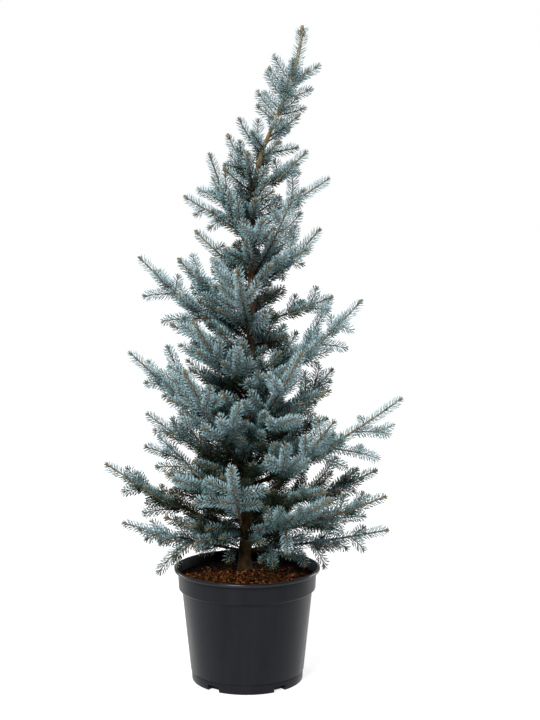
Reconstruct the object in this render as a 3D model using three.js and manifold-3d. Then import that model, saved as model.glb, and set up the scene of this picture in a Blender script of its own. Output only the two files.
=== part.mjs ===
// A young blue spruce in a round nursery pot, in millimetres, +Z up.
// The origin is the centre of the pot's flat underside. +X is the side that the treetop leans to,
// and a turn is counted from +X towards +Y, so 0 is right, 90 back, 180 left and -90 front.
import * as THREE from "three";
import { mergeVertices } from "three/addons/utils/BufferGeometryUtils.js";
import Module from "manifold-3d";

const wasm = await Module();
wasm.setup();

// ---------- driving dimensions ----------

const HEIGHT = 1500; // floor to the tip of the leader
const SEAT = 0.3; // clearance between pieces that rest on each other

const pot = {
  height: 264,
  rim: { radius: 170, bead: 7, lip: 9 },
  collar: { top: 161.5, bottom: 159.5, height: 48 },
  body: { top: 151.5, bottom: 132 },
  foot: { radius: 129.5, height: 20, step: 1.5 },
  wall: 2.5,
  floor: 3,
  sides: 32,
};
const drain = { count: 5, first: -54, width: 32, height: 12, depth: 17, wall: 2 };
const soil = { edge: 22, crown: 12, plateau: 28 }; // edge and crown lie that far below the rim

const trunk = {
  foot: 14.5,
  tip: 4,
  top: 1282, // where the needled leader begins
  flare: { width: 5.5, height: 26, lobes: 5, depth: 0.13 },
  lean: { start: -6, slope: 0.0255, sway: 100, from: 1122, to: 1490 },
  sides: 10,
  ring: 75,
};

// The leader carries three tiers of short shoots, and the trunk carries the boughs below.
// Each is [turn in degrees, reach outward, rise of its tip].
const leaderTiers = [
  { height: 1376, shoots: [[165, 38, 56], [5, 62, 34], [-80, 30, 42], [85, 42, 38]] },
  { height: 1337, shoots: [[170, 38, 58], [10, 60, 22], [-95, 44, 40], [95, 48, 34]] },
  { height: 1300, shoots: [[175, 42, 52], [20, 64, 18], [-70, 48, 38]] },
];
const tiers = [
  { height: 1252, boughs: { right: [-10, 66, 44] } },
  { height: 1214, boughs: { left: [175, 50, 76], right: [5, 78, 15] } },
  { height: 1190, boughs: { back: [92, 92, 66] } },
  { height: 1150, boughs: { left: [170, 60, 103] } },
  { height: 1126, boughs: { right: [5, 118, 92], front: [-100, 74, 84] } },
  { height: 1066, boughs: { right: [-5, 168, 90] } },
  { height: 1040, boughs: { left: [171, 154, 77], back: [110, 140, 95] } },
  { height: 1000, boughs: { front: [-80, 137, 60] } },
  { height: 984, boughs: { left: [-160, 100, 225] } },
  { height: 935, boughs: { left: [168, 128, 102], front: [-50, 142, 180] } },
  { height: 905, boughs: { right: [-12, 155, 136], back: [75, 175, 110] } },
  { height: 828, boughs: { left: [-162, 165, 146], right: [12, 188, 60] } },
  { height: 800, boughs: { front: [-97, 195, 154], back: [120, 205, 125] } },
  { height: 774, boughs: { left: [178, 250, 204] } },
  { height: 660, boughs: { front: [-130, 175, 172], right: [-5, 254, 220] } },
  { height: 642, boughs: { back_right: [62, 240, 150], back_left: [122, 240, 150] } },
  { height: 572, boughs: { left: [178, 270, 188], front: [-55, 206, 202] } },
  { height: 548, boughs: { right: [24, 215, 165], back: [100, 270, 140] } },
  { height: 478, boughs: { front: [-125, 225, 258], left: [160, 250, 130] } },
  { height: 450, boughs: { right: [-2, 352, 206], back: [65, 300, 150] } },
  { height: 400, boughs: { front: [-42, 260, 226], back_left: [140, 280, 140] } },
  { height: 378, boughs: { right: [18, 322, 92], back: [105, 300, 120] } },
  { height: 342, boughs: { left: [-178, 318, 162], front_right: [-50, 282, 118] } },
  { height: 328, boughs: { right: [-12, 322, 112], front: [-96, 240, 208] } },
  { height: 300, boughs: { right: [2, 328, 46], left: [172, 286, 56], back: [80, 290, 75] } },
];

const bough = {
  curve: 0.28, // share of the rise that the outer half gains over a straight limb
  slimness: 78, // length over radius at the trunk
  tip: 2,
  sides: 6,
  ownLimb: 331, // boughs from this length have their inner stretch as a limb of its own
  limbShare: 0.28,
};

const growth = {
  year: 84, // about what a stem adds in a year
  gain: 1.15, // each year adds more than the one before
  spread: 48, // degrees between a twig and its stem
  share: 0.62, // length of a twig over the length of stem beyond it
  lift: 0.16,
  chance: 0.3,
  shortest: 30,
  depth: 2, // twigs on boughs, and twigs on those twigs
};

// Each band of a shoot has three needles that stand out and three that sweep forward.
const needle = { length: 24, tip: 20, upright: 72, swept: 50, tipSweep: 30, band: 39, twist: 60 };
const twig = { radius: 2.3, tip: 1.4, bare: 8 };
const room = 1.5; // half of the space kept between two masses of needles

const degrees = THREE.MathUtils.degToRad;
const up = new THREE.Vector3(0, 0, 1);

// ---------- solids ----------

// The manifold-3d solid of a closed three.js geometry.
function solidOf(geometry) {
  const loose = geometry.index ? geometry.toNonIndexed() : geometry;
  const bare = new THREE.BufferGeometry().setAttribute("position", loose.getAttribute("position"));
  const merged = mergeVertices(bare, 1e-3);
  const numbers = merged.index.array;
  const kept = [];
  for (let i = 0; i < numbers.length; i += 3) {
    const [a, b, c] = numbers.slice(i, i + 3);
    if (a !== b && b !== c && c !== a) kept.push(a, b, c);
  }
  return new wasm.Manifold(
    new wasm.Mesh({
      numProp: 3,
      vertProperties: new Float32Array(merged.attributes.position.array),
      triVerts: new Uint32Array(kept),
    }),
  );
}

// The three.js geometry of a solid.
function geometryOf(solid) {
  const mesh = solid.getMesh();
  const points = new Float32Array(mesh.numVert * 3);
  for (let i = 0; i < mesh.numVert; i++) {
    const first = i * mesh.numProp;
    points.set(mesh.vertProperties.subarray(first, first + 3), i * 3);
  }
  const geometry = new THREE.BufferGeometry();
  geometry.setAttribute("position", new THREE.BufferAttribute(points, 3));
  geometry.setIndex(new THREE.BufferAttribute(new Uint32Array(mesh.triVerts), 1));
  geometry.computeVertexNormals();
  return geometry;
}

function facets(points, corners) {
  return new THREE.BufferGeometry().setFromPoints(points).setIndex(corners);
}

// Fusing and cutting can leave loose scraps, so close points are welded and the main piece is kept.
function mainPiece(solid) {
  const pieces = solidOf(geometryOf(solid)).decompose();
  return pieces.reduce((a, b) => (a.volume() > b.volume() ? a : b));
}

// A body turned about +Z from a profile of [radius, height] pairs.
function turned(profile, sides) {
  const outline = profile.map(([radius, height]) => new THREE.Vector2(radius, height));
  return solidOf(new THREE.LatheGeometry(outline, sides).rotateX(Math.PI / 2));
}

// The skin between level or crosswise rings of equally many points, closed at both ends.
function skinned(points, sides) {
  const corners = [];
  const rings = points.length / sides;
  for (let r = 0; r < rings - 1; r++) {
    for (let s = 0; s < sides; s++) {
      const [a, b] = [r * sides + s, r * sides + ((s + 1) % sides)];
      corners.push(a, b, a + sides, b, b + sides, a + sides);
    }
  }
  const last = (rings - 1) * sides;
  for (let s = 1; s < sides - 1; s++) {
    corners.push(0, s + 1, s, last, last + s, last + s + 1);
  }
  return solidOf(facets(points, corners));
}

// The arc from a start through its middle to an end.
function arc(start, middle, end) {
  const knee = middle.clone().multiplyScalar(2);
  knee.addScaledVector(start, -0.5).addScaledVector(end, -0.5);
  return new THREE.QuadraticBezierCurve3(start, knee, end);
}

// The part of an arc between two shares of it.
function partOf(curve, from, to) {
  return arc(curve.getPoint(from), curve.getPoint((from + to) / 2), curve.getPoint(to));
}

// Crosswise frames along a curve, one for each share of its length.
function framesAlong(curve, shares) {
  let normal = new THREE.Vector3(0, 1, 0);
  return shares.map((at) => {
    const tangent = curve.getTangentAt(at);
    normal = normal.clone().addScaledVector(tangent, -normal.dot(tangent));
    if (normal.length() < 0.1) normal.set(1, 0, 0).addScaledVector(tangent, -tangent.x);
    normal.normalize();
    return { at, centre: curve.getPointAt(at), tangent, normal, side: tangent.clone().cross(normal) };
  });
}

function pointRound(frame, radius, angle) {
  return frame.centre
    .clone()
    .addScaledVector(frame.normal, radius * Math.cos(angle))
    .addScaledVector(frame.side, radius * Math.sin(angle));
}

// ---------- pot and soil ----------

// Recesses cut into the foot let water out. A grown set of the same boxes makes their walls,
// and one grown further keeps the soil clear of them.
function drains(grown) {
  const inner = pot.foot.radius - drain.depth - grown;
  const outer = pot.foot.radius + 4;
  const boxes = Array.from({ length: drain.count }, (_, i) =>
    solidOf(
      new THREE.BoxGeometry(outer - inner, drain.width + 2 * grown, 2 * (drain.height + grown))
        .translate((inner + outer) / 2, 0, 0)
        .rotateZ(degrees(drain.first + (360 / drain.count) * i)),
    ),
  );
  return wasm.Manifold.union(boxes);
}

function potSolid() {
  const { height, rim, collar, body, foot, wall, floor } = pot;
  const shoulder = height - collar.height;
  const shell = turned(
    [
      [0, 0],
      [foot.radius - foot.step, 0],
      [foot.radius, foot.step],
      [foot.radius + foot.step / 2, foot.height],
      [body.bottom, foot.height + foot.step],
      [body.top, shoulder - 6],
      [collar.bottom, shoulder],
      [collar.top, height - rim.bead],
      [rim.radius - rim.bead / 4, height - rim.bead],
      [rim.radius, height - rim.bead * 0.7],
      [rim.radius, height - rim.bead * 0.3],
      [rim.radius - rim.bead / 3, height],
      [rim.radius - rim.lip, height],
      [collar.top - wall, height - rim.bead],
      [collar.bottom - wall, shoulder + wall],
      [body.top - wall, shoulder - 6 + wall],
      [foot.radius - wall - foot.step, floor],
      [0, floor],
    ],
    pot.sides,
  );
  const inside = solidOf(
    new THREE.CylinderGeometry(foot.radius - wall / 2, foot.radius - wall / 2, 40, pot.sides)
      .rotateX(Math.PI / 2)
      .translate(0, 0, 20 + floor / 2),
  );
  return shell.add(drains(drain.wall).intersect(inside)).subtract(drains(0));
}

// Soil fills the pot and rises a little towards the trunk, where it has a level patch.
const soilTop = pot.height - soil.crown;

function soilSolid() {
  const { height, collar, body, foot, wall, floor } = pot;
  const shoulder = height - collar.height;
  const clear = wall + 2 * SEAT;
  const edge = collar.bottom - clear;
  const low = height - soil.edge;
  const fill = turned(
    [
      [0, floor + SEAT],
      [foot.radius - clear - foot.step, floor + SEAT],
      [body.top - clear, shoulder - 6 + clear],
      [edge, shoulder + clear],
      [edge, low],
      [edge * 0.72, low + (soilTop - low) * 0.5],
      [soil.plateau, soilTop],
      [0, soilTop],
    ],
    pot.sides,
  );
  return fill.subtract(drains(drain.wall + SEAT));
}

// ---------- trunk ----------

const trunkFoot = soilTop + SEAT;

function trunkPoint(height) {
  const { start, slope, sway, from, to } = trunk.lean;
  const bend = sway * THREE.MathUtils.smoothstep(height, from, to);
  return new THREE.Vector3(start + slope * (height - trunkFoot) + bend, 0, height);
}

function flareAt(height) {
  return Math.exp((-2 * (height - trunkFoot)) / trunk.flare.height);
}

function trunkRadius(height) {
  const share = Math.min(1, (height - trunkFoot) / (trunk.top - trunkFoot));
  return THREE.MathUtils.lerp(trunk.foot, trunk.tip, share) + trunk.flare.width * flareAt(height);
}

// Rings lie level, so that the foot is a flat cut, and crowd together in the root flare.
function trunkSolid(grown = 0) {
  const { sides, flare, ring, top } = trunk;
  const heights = [trunkFoot, trunkFoot + flare.height / 3, trunkFoot + flare.height];
  while (heights.at(-1) + 1.5 * ring < top) heights.push(heights.at(-1) + ring);
  heights.push(top - SEAT);
  const points = heights.flatMap((height) =>
    Array.from({ length: sides }, (_, s) => {
      const angle = (2 * Math.PI * s) / sides;
      const lobe = 1 + flare.depth * flareAt(height) * Math.cos(flare.lobes * angle);
      const radius = trunkRadius(height) * lobe + grown;
      const out = new THREE.Vector3(radius * Math.cos(angle), radius * Math.sin(angle), 0);
      return trunkPoint(height).add(out);
    }),
  );
  return skinned(points, sides);
}

const trunkSpace = trunkSolid(SEAT + 0.1);

// ---------- stems of the masses ----------

// From a foot on the trunk or leader, outward and upward to its tip, steeper as it goes.
function stemCurve(height, [turn, reach, rise]) {
  const foot = trunkPoint(height);
  const out = new THREE.Vector3(Math.cos(degrees(turn)), Math.sin(degrees(turn)), 0);
  const along = (share, lifted) =>
    foot.clone().addScaledVector(out, reach * share).addScaledVector(up, rise * lifted);
  return arc(foot, along(0.5, 0.5 - bough.curve / 4), along(1, 1));
}

const boughs = tiers.flatMap(({ height, boughs: sides }, level) =>
  Object.entries(sides).map(([side, shape]) => {
    const curve = stemCurve(height, shape);
    const length = curve.getLength();
    return {
      name: `${String(level + 1).padStart(2, "0")}_${side}`,
      stems: [curve],
      radius: Math.max(length / bough.slimness, bough.tip),
      hasLimb: length >= bough.ownLimb,
    };
  }),
);
const treetop = {
  name: "treetop",
  stems: [
    arc(trunkPoint(trunk.top), trunkPoint((trunk.top + HEIGHT) / 2), trunkPoint(HEIGHT)),
    ...leaderTiers.flatMap(({ height, shoots }) => shoots.map((shape) => stemCurve(height, shape))),
  ],
  radius: trunk.tip,
};
const masses = [treetop, ...boughs];
masses.forEach((own, i) => {
  own.seed = i + 1;
  own.lines = own.stems.flatMap(linesAlong);
});

function linesAlong(curve) {
  const points = curve.getPoints(8);
  return points.slice(1).map((point, k) => new THREE.Line3(points[k], point));
}

const nearest = new THREE.Vector3();

function distanceTo(lines, point) {
  return Math.min(
    ...lines.map((line) => line.closestPointToPoint(point, true, nearest).distanceTo(point)),
  );
}

// A mass's space is what lies nearer to its own stem than to any other, clear of trunk, pot and soil.
function inSpace(own, point, grown = 0) {
  const clear = room + grown;
  const across = Math.hypot(point.x, point.y);
  const floorHere = across < pot.collar.bottom - 8 ? soilTop : pot.height;
  if (across < pot.rim.radius + 4 + grown && point.z < floorHere + 4 + grown) return false;
  if (point.z > HEIGHT) return false;
  if (point.z < trunk.top) {
    const centre = trunkPoint(point.z);
    const gap = Math.hypot(point.x - centre.x, point.y - centre.y) - trunkRadius(point.z);
    if (gap < clear) return false;
  }
  const mine = distanceTo(own.lines, point);
  return masses.every((other) => {
    if (other === own) return true;
    return distanceTo(other.lines, point) > Math.max(mine + 2 * clear, other.radius + clear);
  });
}

// ---------- twigs ----------

// Numbers from 0 to 1, the same for the same seed.
function seeded(seed) {
  let state = (seed * 7919 + 12345) >>> 0;
  return () => {
    state = (Math.imul(state, 1664525) + 1013904223) >>> 0;
    return state / 4294967296;
  };
}

// A twig leaves its stem sideways, then swings forward and up a little.
function twigCurve(stem, at, side, reach, spread) {
  const foot = stem.getPoint(at);
  const forward = stem.getTangent(at);
  const across = forward.clone().cross(up).normalize().multiplyScalar(side);
  const heading = forward.clone().multiplyScalar(Math.cos(degrees(spread)));
  heading.addScaledVector(across, Math.sin(degrees(spread)));
  const middle = foot.clone().addScaledVector(heading, reach / 2);
  const tip = foot.clone().addScaledVector(heading, reach).addScaledVector(forward, reach * 0.1);
  tip.z += reach * growth.lift;
  return arc(foot, middle, tip);
}

// How much of a twig stays in its mass's space, as a share of it.
function shareInSpace(own, curve) {
  const steps = 12;
  for (let i = 3; i <= steps; i++) {
    if (!inSpace(own, curve.getPoint(i / steps), twig.radius)) return (i - 1) / steps;
  }
  return 1;
}

// The twigs of a stem: a pair at the end of each year's growth, and twigs on those in turn.
function twigsOf(own, stem, from, seed, depth) {
  const random = seeded(seed);
  const length = stem.getLength();
  const years = Math.round(length / growth.year);
  const twigs = [];
  for (let year = 1; year < years; year++) {
    const at = (year / years) ** growth.gain;
    for (const side of [1, -1]) {
      const reach = growth.share * length * (1 - at) * (1 + growth.chance * (random() - 0.5));
      const spread = growth.spread * (1 + growth.chance * (random() - 0.5));
      const next = Math.floor(random() * 1e6);
      if (at < from) continue;
      const whole = twigCurve(stem, at, side, reach, spread);
      const share = shareInSpace(own, whole);
      if (reach * share < growth.shortest) continue;
      const kept = partOf(whole, 0, share);
      twigs.push(kept);
      if (depth > 1) twigs.push(...twigsOf(own, kept, 0.2, next, depth - 1));
    }
  }
  return twigs;
}

// ---------- needles ----------

// A needled shoot: a three-sided core whose faces are drawn out into forward-swept needles.
// It starts with a bare stretch, and a needle is left out where it has no room.
function shootSolid({ curve, radius, bare }, hasRoom, random) {
  const start = bare / curve.getLength();
  const bands = Math.max(1, Math.round((curve.getLength() - bare) / needle.band));
  const step = (1 - start) / (bands + 0.5);
  const shares = [0, ...Array.from({ length: bands + 1 }, (_, k) => start + step * k), 1];
  const frames = framesAlong(curve, shares);
  const points = [];
  const corners = [0, 2, 1];
  frames.slice(0, -1).forEach((frame, k) => {
    const thick = THREE.MathUtils.lerp(radius, twig.tip, frame.at);
    for (let m = 0; m < 3; m++) {
      points.push(pointRound(frame, thick, degrees(120 * m + needle.twist * k)));
    }
  });
  points.push(frames.at(-1).centre);

  const drawOut = (a, b, c, k, length, sweep) => {
    const { tangent } = frames[k];
    const middle = points[a].clone().add(points[b]).add(points[c]).divideScalar(3);
    const out = points[b].clone().sub(points[a]).cross(points[c].clone().sub(points[a]));
    out.addScaledVector(tangent, -out.dot(tangent)).normalize();
    const reach = length * (0.85 + 0.3 * random());
    const point = middle.clone().addScaledVector(out, reach * Math.sin(degrees(sweep)));
    point.addScaledVector(tangent, reach * Math.cos(degrees(sweep)));
    if (k === 0 || !hasRoom(point) || !hasRoom(middle.clone().lerp(point, 0.5))) {
      corners.push(a, b, c);
      return;
    }
    const peak = points.push(point) - 1;
    corners.push(a, b, peak, b, c, peak, c, a, peak);
  };

  for (let k = 0; k <= bands; k++) {
    for (let m = 0; m < 3; m++) {
      const [a, b] = [3 * k + m, 3 * k + ((m + 1) % 3)];
      drawOut(a, b, a + 3, k, needle.length, needle.upright);
      drawOut(a + 3, b, b + 3, k, needle.length, needle.swept);
    }
  }
  const last = 3 * (bands + 1);
  for (let m = 0; m < 3; m++) {
    drawOut(last + m, last + ((m + 1) % 3), last + 3, bands + 1, needle.tip, needle.tipSweep);
  }
  return solidOf(facets(points, corners));
}

function stemRadius(own, share) {
  return THREE.MathUtils.lerp(own.radius, bough.tip, share);
}

// One mass: its stems and their twigs, fused, and cut clear of the trunk. Needles keep to the
// mass's space and nearer to their own shoot than to any other.
function massSolid(own) {
  const random = seeded(own.seed + 500);
  const from = own.hasLimb ? bough.limbShare : 0;
  const stems = own.stems.map((stem, i) => ({
    curve: partOf(stem, i === 0 ? from + SEAT / stem.getLength() : 0, 1),
    radius: stemRadius(own, from),
    bare: own.hasLimb ? twig.bare : trunkRadius(stem.v0.z) + 4,
  }));
  const twigs = (own === treetop ? [] : own.stems) // the treetop's stems stay single shoots
    .flatMap((stem) => twigsOf(own, stem, from + 0.05, own.seed, growth.depth))
    .map((curve) => ({ curve, radius: twig.radius, bare: twig.bare }));
  const shoots = [...stems, ...twigs];
  for (const shoot of shoots) shoot.lines = linesAlong(shoot.curve);
  const solids = shoots.map((shoot) => {
    const others = shoots.filter((other) => other !== shoot);
    const hasRoom = (point) => {
      const mine = distanceTo(shoot.lines, point) + 1;
      return inSpace(own, point) && others.every(({ lines }) => distanceTo(lines, point) > mine);
    };
    return shootSolid(shoot, hasRoom, random);
  });
  const fused = wasm.Manifold.union(solids).asOriginal().simplify(0.6);
  return mainPiece(fused.subtract(trunkSpace));
}

// The bare inner stretch of a long bough.
function limbSolid(own) {
  const frames = framesAlong(partOf(own.stems[0], 0, bough.limbShare), [0, 0.5, 1]);
  const points = frames.flatMap((frame) =>
    Array.from({ length: bough.sides }, (_, s) => {
      const radius = stemRadius(own, frame.at * bough.limbShare);
      return pointRound(frame, radius, (2 * Math.PI * s) / bough.sides);
    }),
  );
  return mainPiece(skinned(points, bough.sides).subtract(trunkSpace));
}

// ---------- assembly ----------

const finish = {
  plastic: new THREE.MeshStandardMaterial({ color: 0x2b2c2e, roughness: 0.5, metalness: 0 }),
  compost: new THREE.MeshStandardMaterial({ color: 0x4a2816, roughness: 0.95, metalness: 0 }),
  bark: new THREE.MeshStandardMaterial({ color: 0x6b5138, roughness: 0.9, metalness: 0 }),
  needles: new THREE.MeshStandardMaterial({ color: 0x7f9ea8, roughness: 0.6, metalness: 0 }),
};

const plant = new THREE.Group();

function place(name, solid, material) {
  const mesh = new THREE.Mesh(geometryOf(solid), material);
  mesh.name = name;
  plant.add(mesh);
}

place("pot", potSolid(), finish.plastic);
place("soil", soilSolid(), finish.compost);
place("trunk", trunkSolid(), finish.bark);
place("treetop", massSolid(treetop), finish.needles);
for (const own of boughs) {
  if (own.hasLimb) place(`bough_${own.name}`, limbSolid(own), finish.bark);
  place(`foliage_${own.name}`, massSolid(own), finish.needles);
}

export default plant;
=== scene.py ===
# A young blue spruce in a round nursery pot. Growth is worked out in millimetres and
# turned into metres where a mesh is made. +X is the side that the treetop leans to.
import math

import bmesh
import bpy
import numpy as np
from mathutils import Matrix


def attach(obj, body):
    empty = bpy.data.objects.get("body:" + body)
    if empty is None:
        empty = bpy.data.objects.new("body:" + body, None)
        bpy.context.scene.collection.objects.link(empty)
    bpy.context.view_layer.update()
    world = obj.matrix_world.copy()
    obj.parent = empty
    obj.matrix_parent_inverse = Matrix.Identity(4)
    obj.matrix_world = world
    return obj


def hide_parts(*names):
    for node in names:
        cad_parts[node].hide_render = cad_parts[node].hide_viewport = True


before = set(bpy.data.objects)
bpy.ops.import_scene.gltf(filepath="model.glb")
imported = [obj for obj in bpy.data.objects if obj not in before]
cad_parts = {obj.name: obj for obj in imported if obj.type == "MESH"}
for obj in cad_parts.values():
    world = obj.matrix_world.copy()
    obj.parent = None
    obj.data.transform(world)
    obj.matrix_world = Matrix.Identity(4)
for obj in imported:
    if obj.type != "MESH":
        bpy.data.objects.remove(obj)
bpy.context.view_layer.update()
nodeNames = list(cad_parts)
print("frame loaded:", len(nodeNames), "nodes")

millimetre = 0.001
upward = np.array([0.0, 0.0, 1.0])


# Arrays to meshes

def unit(vectors):
    length = np.linalg.norm(vectors, axis=-1, keepdims=True)
    return vectors / np.maximum(length, 1e-9)


def addObject(name, data):
    made = bpy.data.objects.new(name, data)
    bpy.context.scene.collection.objects.link(made)
    return made


def meshPiece(name, shape, material, smooth=True):
    # a piece of the tree. The shape is its points, in millimetres, and its triangles.
    mesh = bpy.data.meshes.new(name)
    points = np.asarray(shape[0], dtype=np.float32) * millimetre
    triangles = np.asarray(shape[1], dtype=np.int32)
    mesh.vertices.add(len(points))
    mesh.vertices.foreach_set("co", points.ravel())
    mesh.loops.add(triangles.size)
    mesh.loops.foreach_set("vertex_index", triangles.ravel())
    mesh.polygons.add(len(triangles))
    starts = np.arange(0, triangles.size, 3, dtype=np.int32)
    mesh.polygons.foreach_set("loop_start", starts)
    mesh.update(calc_edges=True)
    mesh.validate()
    mesh.polygons.foreach_set("use_smooth", np.full(len(mesh.polygons), smooth))
    mesh.materials.append(material)
    piece = addObject(name, mesh)
    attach(piece, "root")
    return piece


def joined(parts):
    # several shapes as one
    offset = 0
    points, triangles = [], []
    for somePoints, someTriangles in parts:
        points.append(somePoints)
        triangles.append(someTriangles + offset)
        offset += len(somePoints)
    return np.concatenate(points), np.concatenate(triangles)


def copies(faces, count, each):
    # the same faces over and over, for shapes that have so many points each
    return (faces[None] + (np.arange(count) * each)[:, None, None]).reshape(-1, 3)


def tubeFaces(rings, sides):
    # walls from ring to ring, then a fan from the point at either end
    r, s = np.meshgrid(np.arange(rings - 1), np.arange(sides), indexing="ij")
    a = (r * sides + s).ravel()
    b = (r * sides + (s + 1) % sides).ravel()
    s, top = np.arange(sides), (rings - 1) * sides
    return np.concatenate([
        np.stack([a, b, a + sides], 1),
        np.stack([b, b + sides, a + sides], 1),
        np.stack([np.full(sides, rings * sides), (s + 1) % sides, s], 1),
        np.stack([np.full(sides, rings * sides + 1), top + s, top + (s + 1) % sides], 1),
    ])


# Node groups that several materials share

def newGroup(name, inputs, outputs):
    group = bpy.data.node_groups.new(name, "ShaderNodeTree")
    for label, kind, value in inputs:
        socket = group.interface.new_socket(label, in_out="INPUT", socket_type=kind)
        socket.default_value = value
    for label, kind in outputs:
        group.interface.new_socket(label, in_out="OUTPUT", socket_type=kind)
    return group, group.nodes.new("NodeGroupInput"), group.nodes.new("NodeGroupOutput")


def newNode(tree, kind, values=None, **settings):
    # values go to its sockets, by name or number
    node = tree.nodes.new(kind)
    for name, setting in settings.items():
        setattr(node, name, setting)
    for socket, value in (values or {}).items():
        node.inputs[socket].default_value = value
    return node


def stretchedPlace(group, given):
    # the place on the object, drawn out along Z
    links = group.links
    place = newNode(group, "ShaderNodeTexCoord")
    squeeze = newNode(group, "ShaderNodeCombineXYZ", {0: 1, 1: 1})
    links.new(given.outputs["Stretch"], squeeze.inputs[2])
    scaled = newNode(group, "ShaderNodeVectorMath", operation="MULTIPLY")
    links.new(place.outputs["Object"], scaled.inputs[0])
    links.new(squeeze.outputs[0], scaled.inputs[1])
    return scaled.outputs[0]


def product(group, first, second, **settings):
    node = newNode(group, "ShaderNodeMath", operation="MULTIPLY", **settings)
    group.links.new(first, node.inputs[0])
    group.links.new(second, node.inputs[1])
    return node.outputs[0]


def mixColours(group, share, first, second):
    node = newNode(group, "ShaderNodeMix", data_type="RGBA")
    group.links.new(share, node.inputs["Factor"])
    group.links.new(first, node.inputs["A"])
    group.links.new(second, node.inputs["B"])
    return node.outputs["Result"]


def buildMottle():
    # two colours broken into soft patches, with finer grains inside them
    group, given, out = newGroup(
        "mottle",
        [("Dark", "NodeSocketColor", (0.1, 0.1, 0.1, 1)),
         ("Light", "NodeSocketColor", (0.5, 0.5, 0.5, 1)),
         ("Scale", "NodeSocketFloat", 40.0),
         ("Stretch", "NodeSocketFloat", 1.0),
         ("Contrast", "NodeSocketFloat", 1.0)],
        [("Color", "NodeSocketColor"), ("Mask", "NodeSocketFloat")],
    )
    links = group.links
    noise = newNode(group, "ShaderNodeTexNoise", {"Detail": 6, "Roughness": 0.62})
    links.new(stretchedPlace(group, given), noise.inputs["Vector"])
    links.new(given.outputs["Scale"], noise.inputs["Scale"])
    centred = newNode(group, "ShaderNodeMath", {1: 0.5}, operation="SUBTRACT")
    links.new(noise.outputs["Fac"], centred.inputs[0])
    gain = newNode(group, "ShaderNodeMath", {1: 3.0}, operation="MULTIPLY")
    links.new(given.outputs["Contrast"], gain.inputs[0])
    spreadOut = newNode(group, "ShaderNodeMath", {2: 0.5}, operation="MULTIPLY_ADD",
                        use_clamp=True)
    links.new(centred.outputs[0], spreadOut.inputs[0])
    links.new(gain.outputs[0], spreadOut.inputs[1])
    blend = mixColours(group, spreadOut.outputs[0], given.outputs["Dark"], given.outputs["Light"])
    links.new(blend, out.inputs["Color"])
    links.new(spreadOut.outputs[0], out.inputs["Mask"])
    return group


def buildDust():
    # fine dust that settles on what faces up and gathers in patches
    group, given, out = newGroup(
        "settledDust",
        [("Base", "NodeSocketColor", (0.1, 0.1, 0.1, 1)),
         ("Dust", "NodeSocketColor", (0.4, 0.36, 0.3, 1)),
         ("Amount", "NodeSocketFloat", 0.3),
         ("Scale", "NodeSocketFloat", 30.0)],
        [("Color", "NodeSocketColor"), ("Mask", "NodeSocketFloat")],
    )
    links = group.links
    surface = newNode(group, "ShaderNodeNewGeometry")
    split = newNode(group, "ShaderNodeSeparateXYZ")
    links.new(surface.outputs["Normal"], split.inputs[0])
    facing = newNode(group, "ShaderNodeMapRange",
                     {"From Min": -0.2, "From Max": 1.0, "To Min": 0.15})
    links.new(split.outputs["Z"], facing.inputs["Value"])
    place = newNode(group, "ShaderNodeTexCoord")
    noise = newNode(group, "ShaderNodeTexNoise", {"Detail": 5})
    links.new(place.outputs["Object"], noise.inputs["Vector"])
    links.new(given.outputs["Scale"], noise.inputs["Scale"])
    patch = newNode(group, "ShaderNodeMapRange", {"From Min": 0.38, "From Max": 0.72})
    links.new(noise.outputs["Fac"], patch.inputs["Value"])
    both = product(group, facing.outputs[0], patch.outputs[0])
    amount = product(group, both, given.outputs["Amount"], use_clamp=True)
    blend = mixColours(group, amount, given.outputs["Base"], given.outputs["Dust"])
    links.new(blend, out.inputs["Color"])
    links.new(amount, out.inputs["Mask"])
    return group


def buildRelief():
    # height of flakes and pits, for a Bump node
    group, given, out = newGroup(
        "flakyRelief",
        [("Scale", "NodeSocketFloat", 120.0),
         ("Stretch", "NodeSocketFloat", 1.0),
         ("Flakes", "NodeSocketFloat", 0.5)],
        [("Height", "NodeSocketFloat")],
    )
    links = group.links
    place = stretchedPlace(group, given)
    noise = newNode(group, "ShaderNodeTexNoise", {"Detail": 8})
    cells = newNode(group, "ShaderNodeTexVoronoi", feature="DISTANCE_TO_EDGE")
    for texture in (noise, cells):
        links.new(place, texture.inputs["Vector"])
        links.new(given.outputs["Scale"], texture.inputs["Scale"])
    edges = newNode(group, "ShaderNodeMapRange", {"From Max": 0.18})
    links.new(cells.outputs["Distance"], edges.inputs["Value"])
    mixed = newNode(group, "ShaderNodeMix")
    links.new(given.outputs["Flakes"], mixed.inputs["Factor"])
    links.new(noise.outputs["Fac"], mixed.inputs["A"])
    links.new(edges.outputs[0], mixed.inputs["B"])
    links.new(mixed.outputs["Result"], out.inputs["Height"])
    return group


mottleGroup = buildMottle()
dustGroup = buildDust()
reliefGroup = buildRelief()


def useGroup(tree, group, **values):
    return newNode(tree, "ShaderNodeGroup", values, node_tree=group)


def rgba(colour):
    return (*colour, 1.0)


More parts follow.
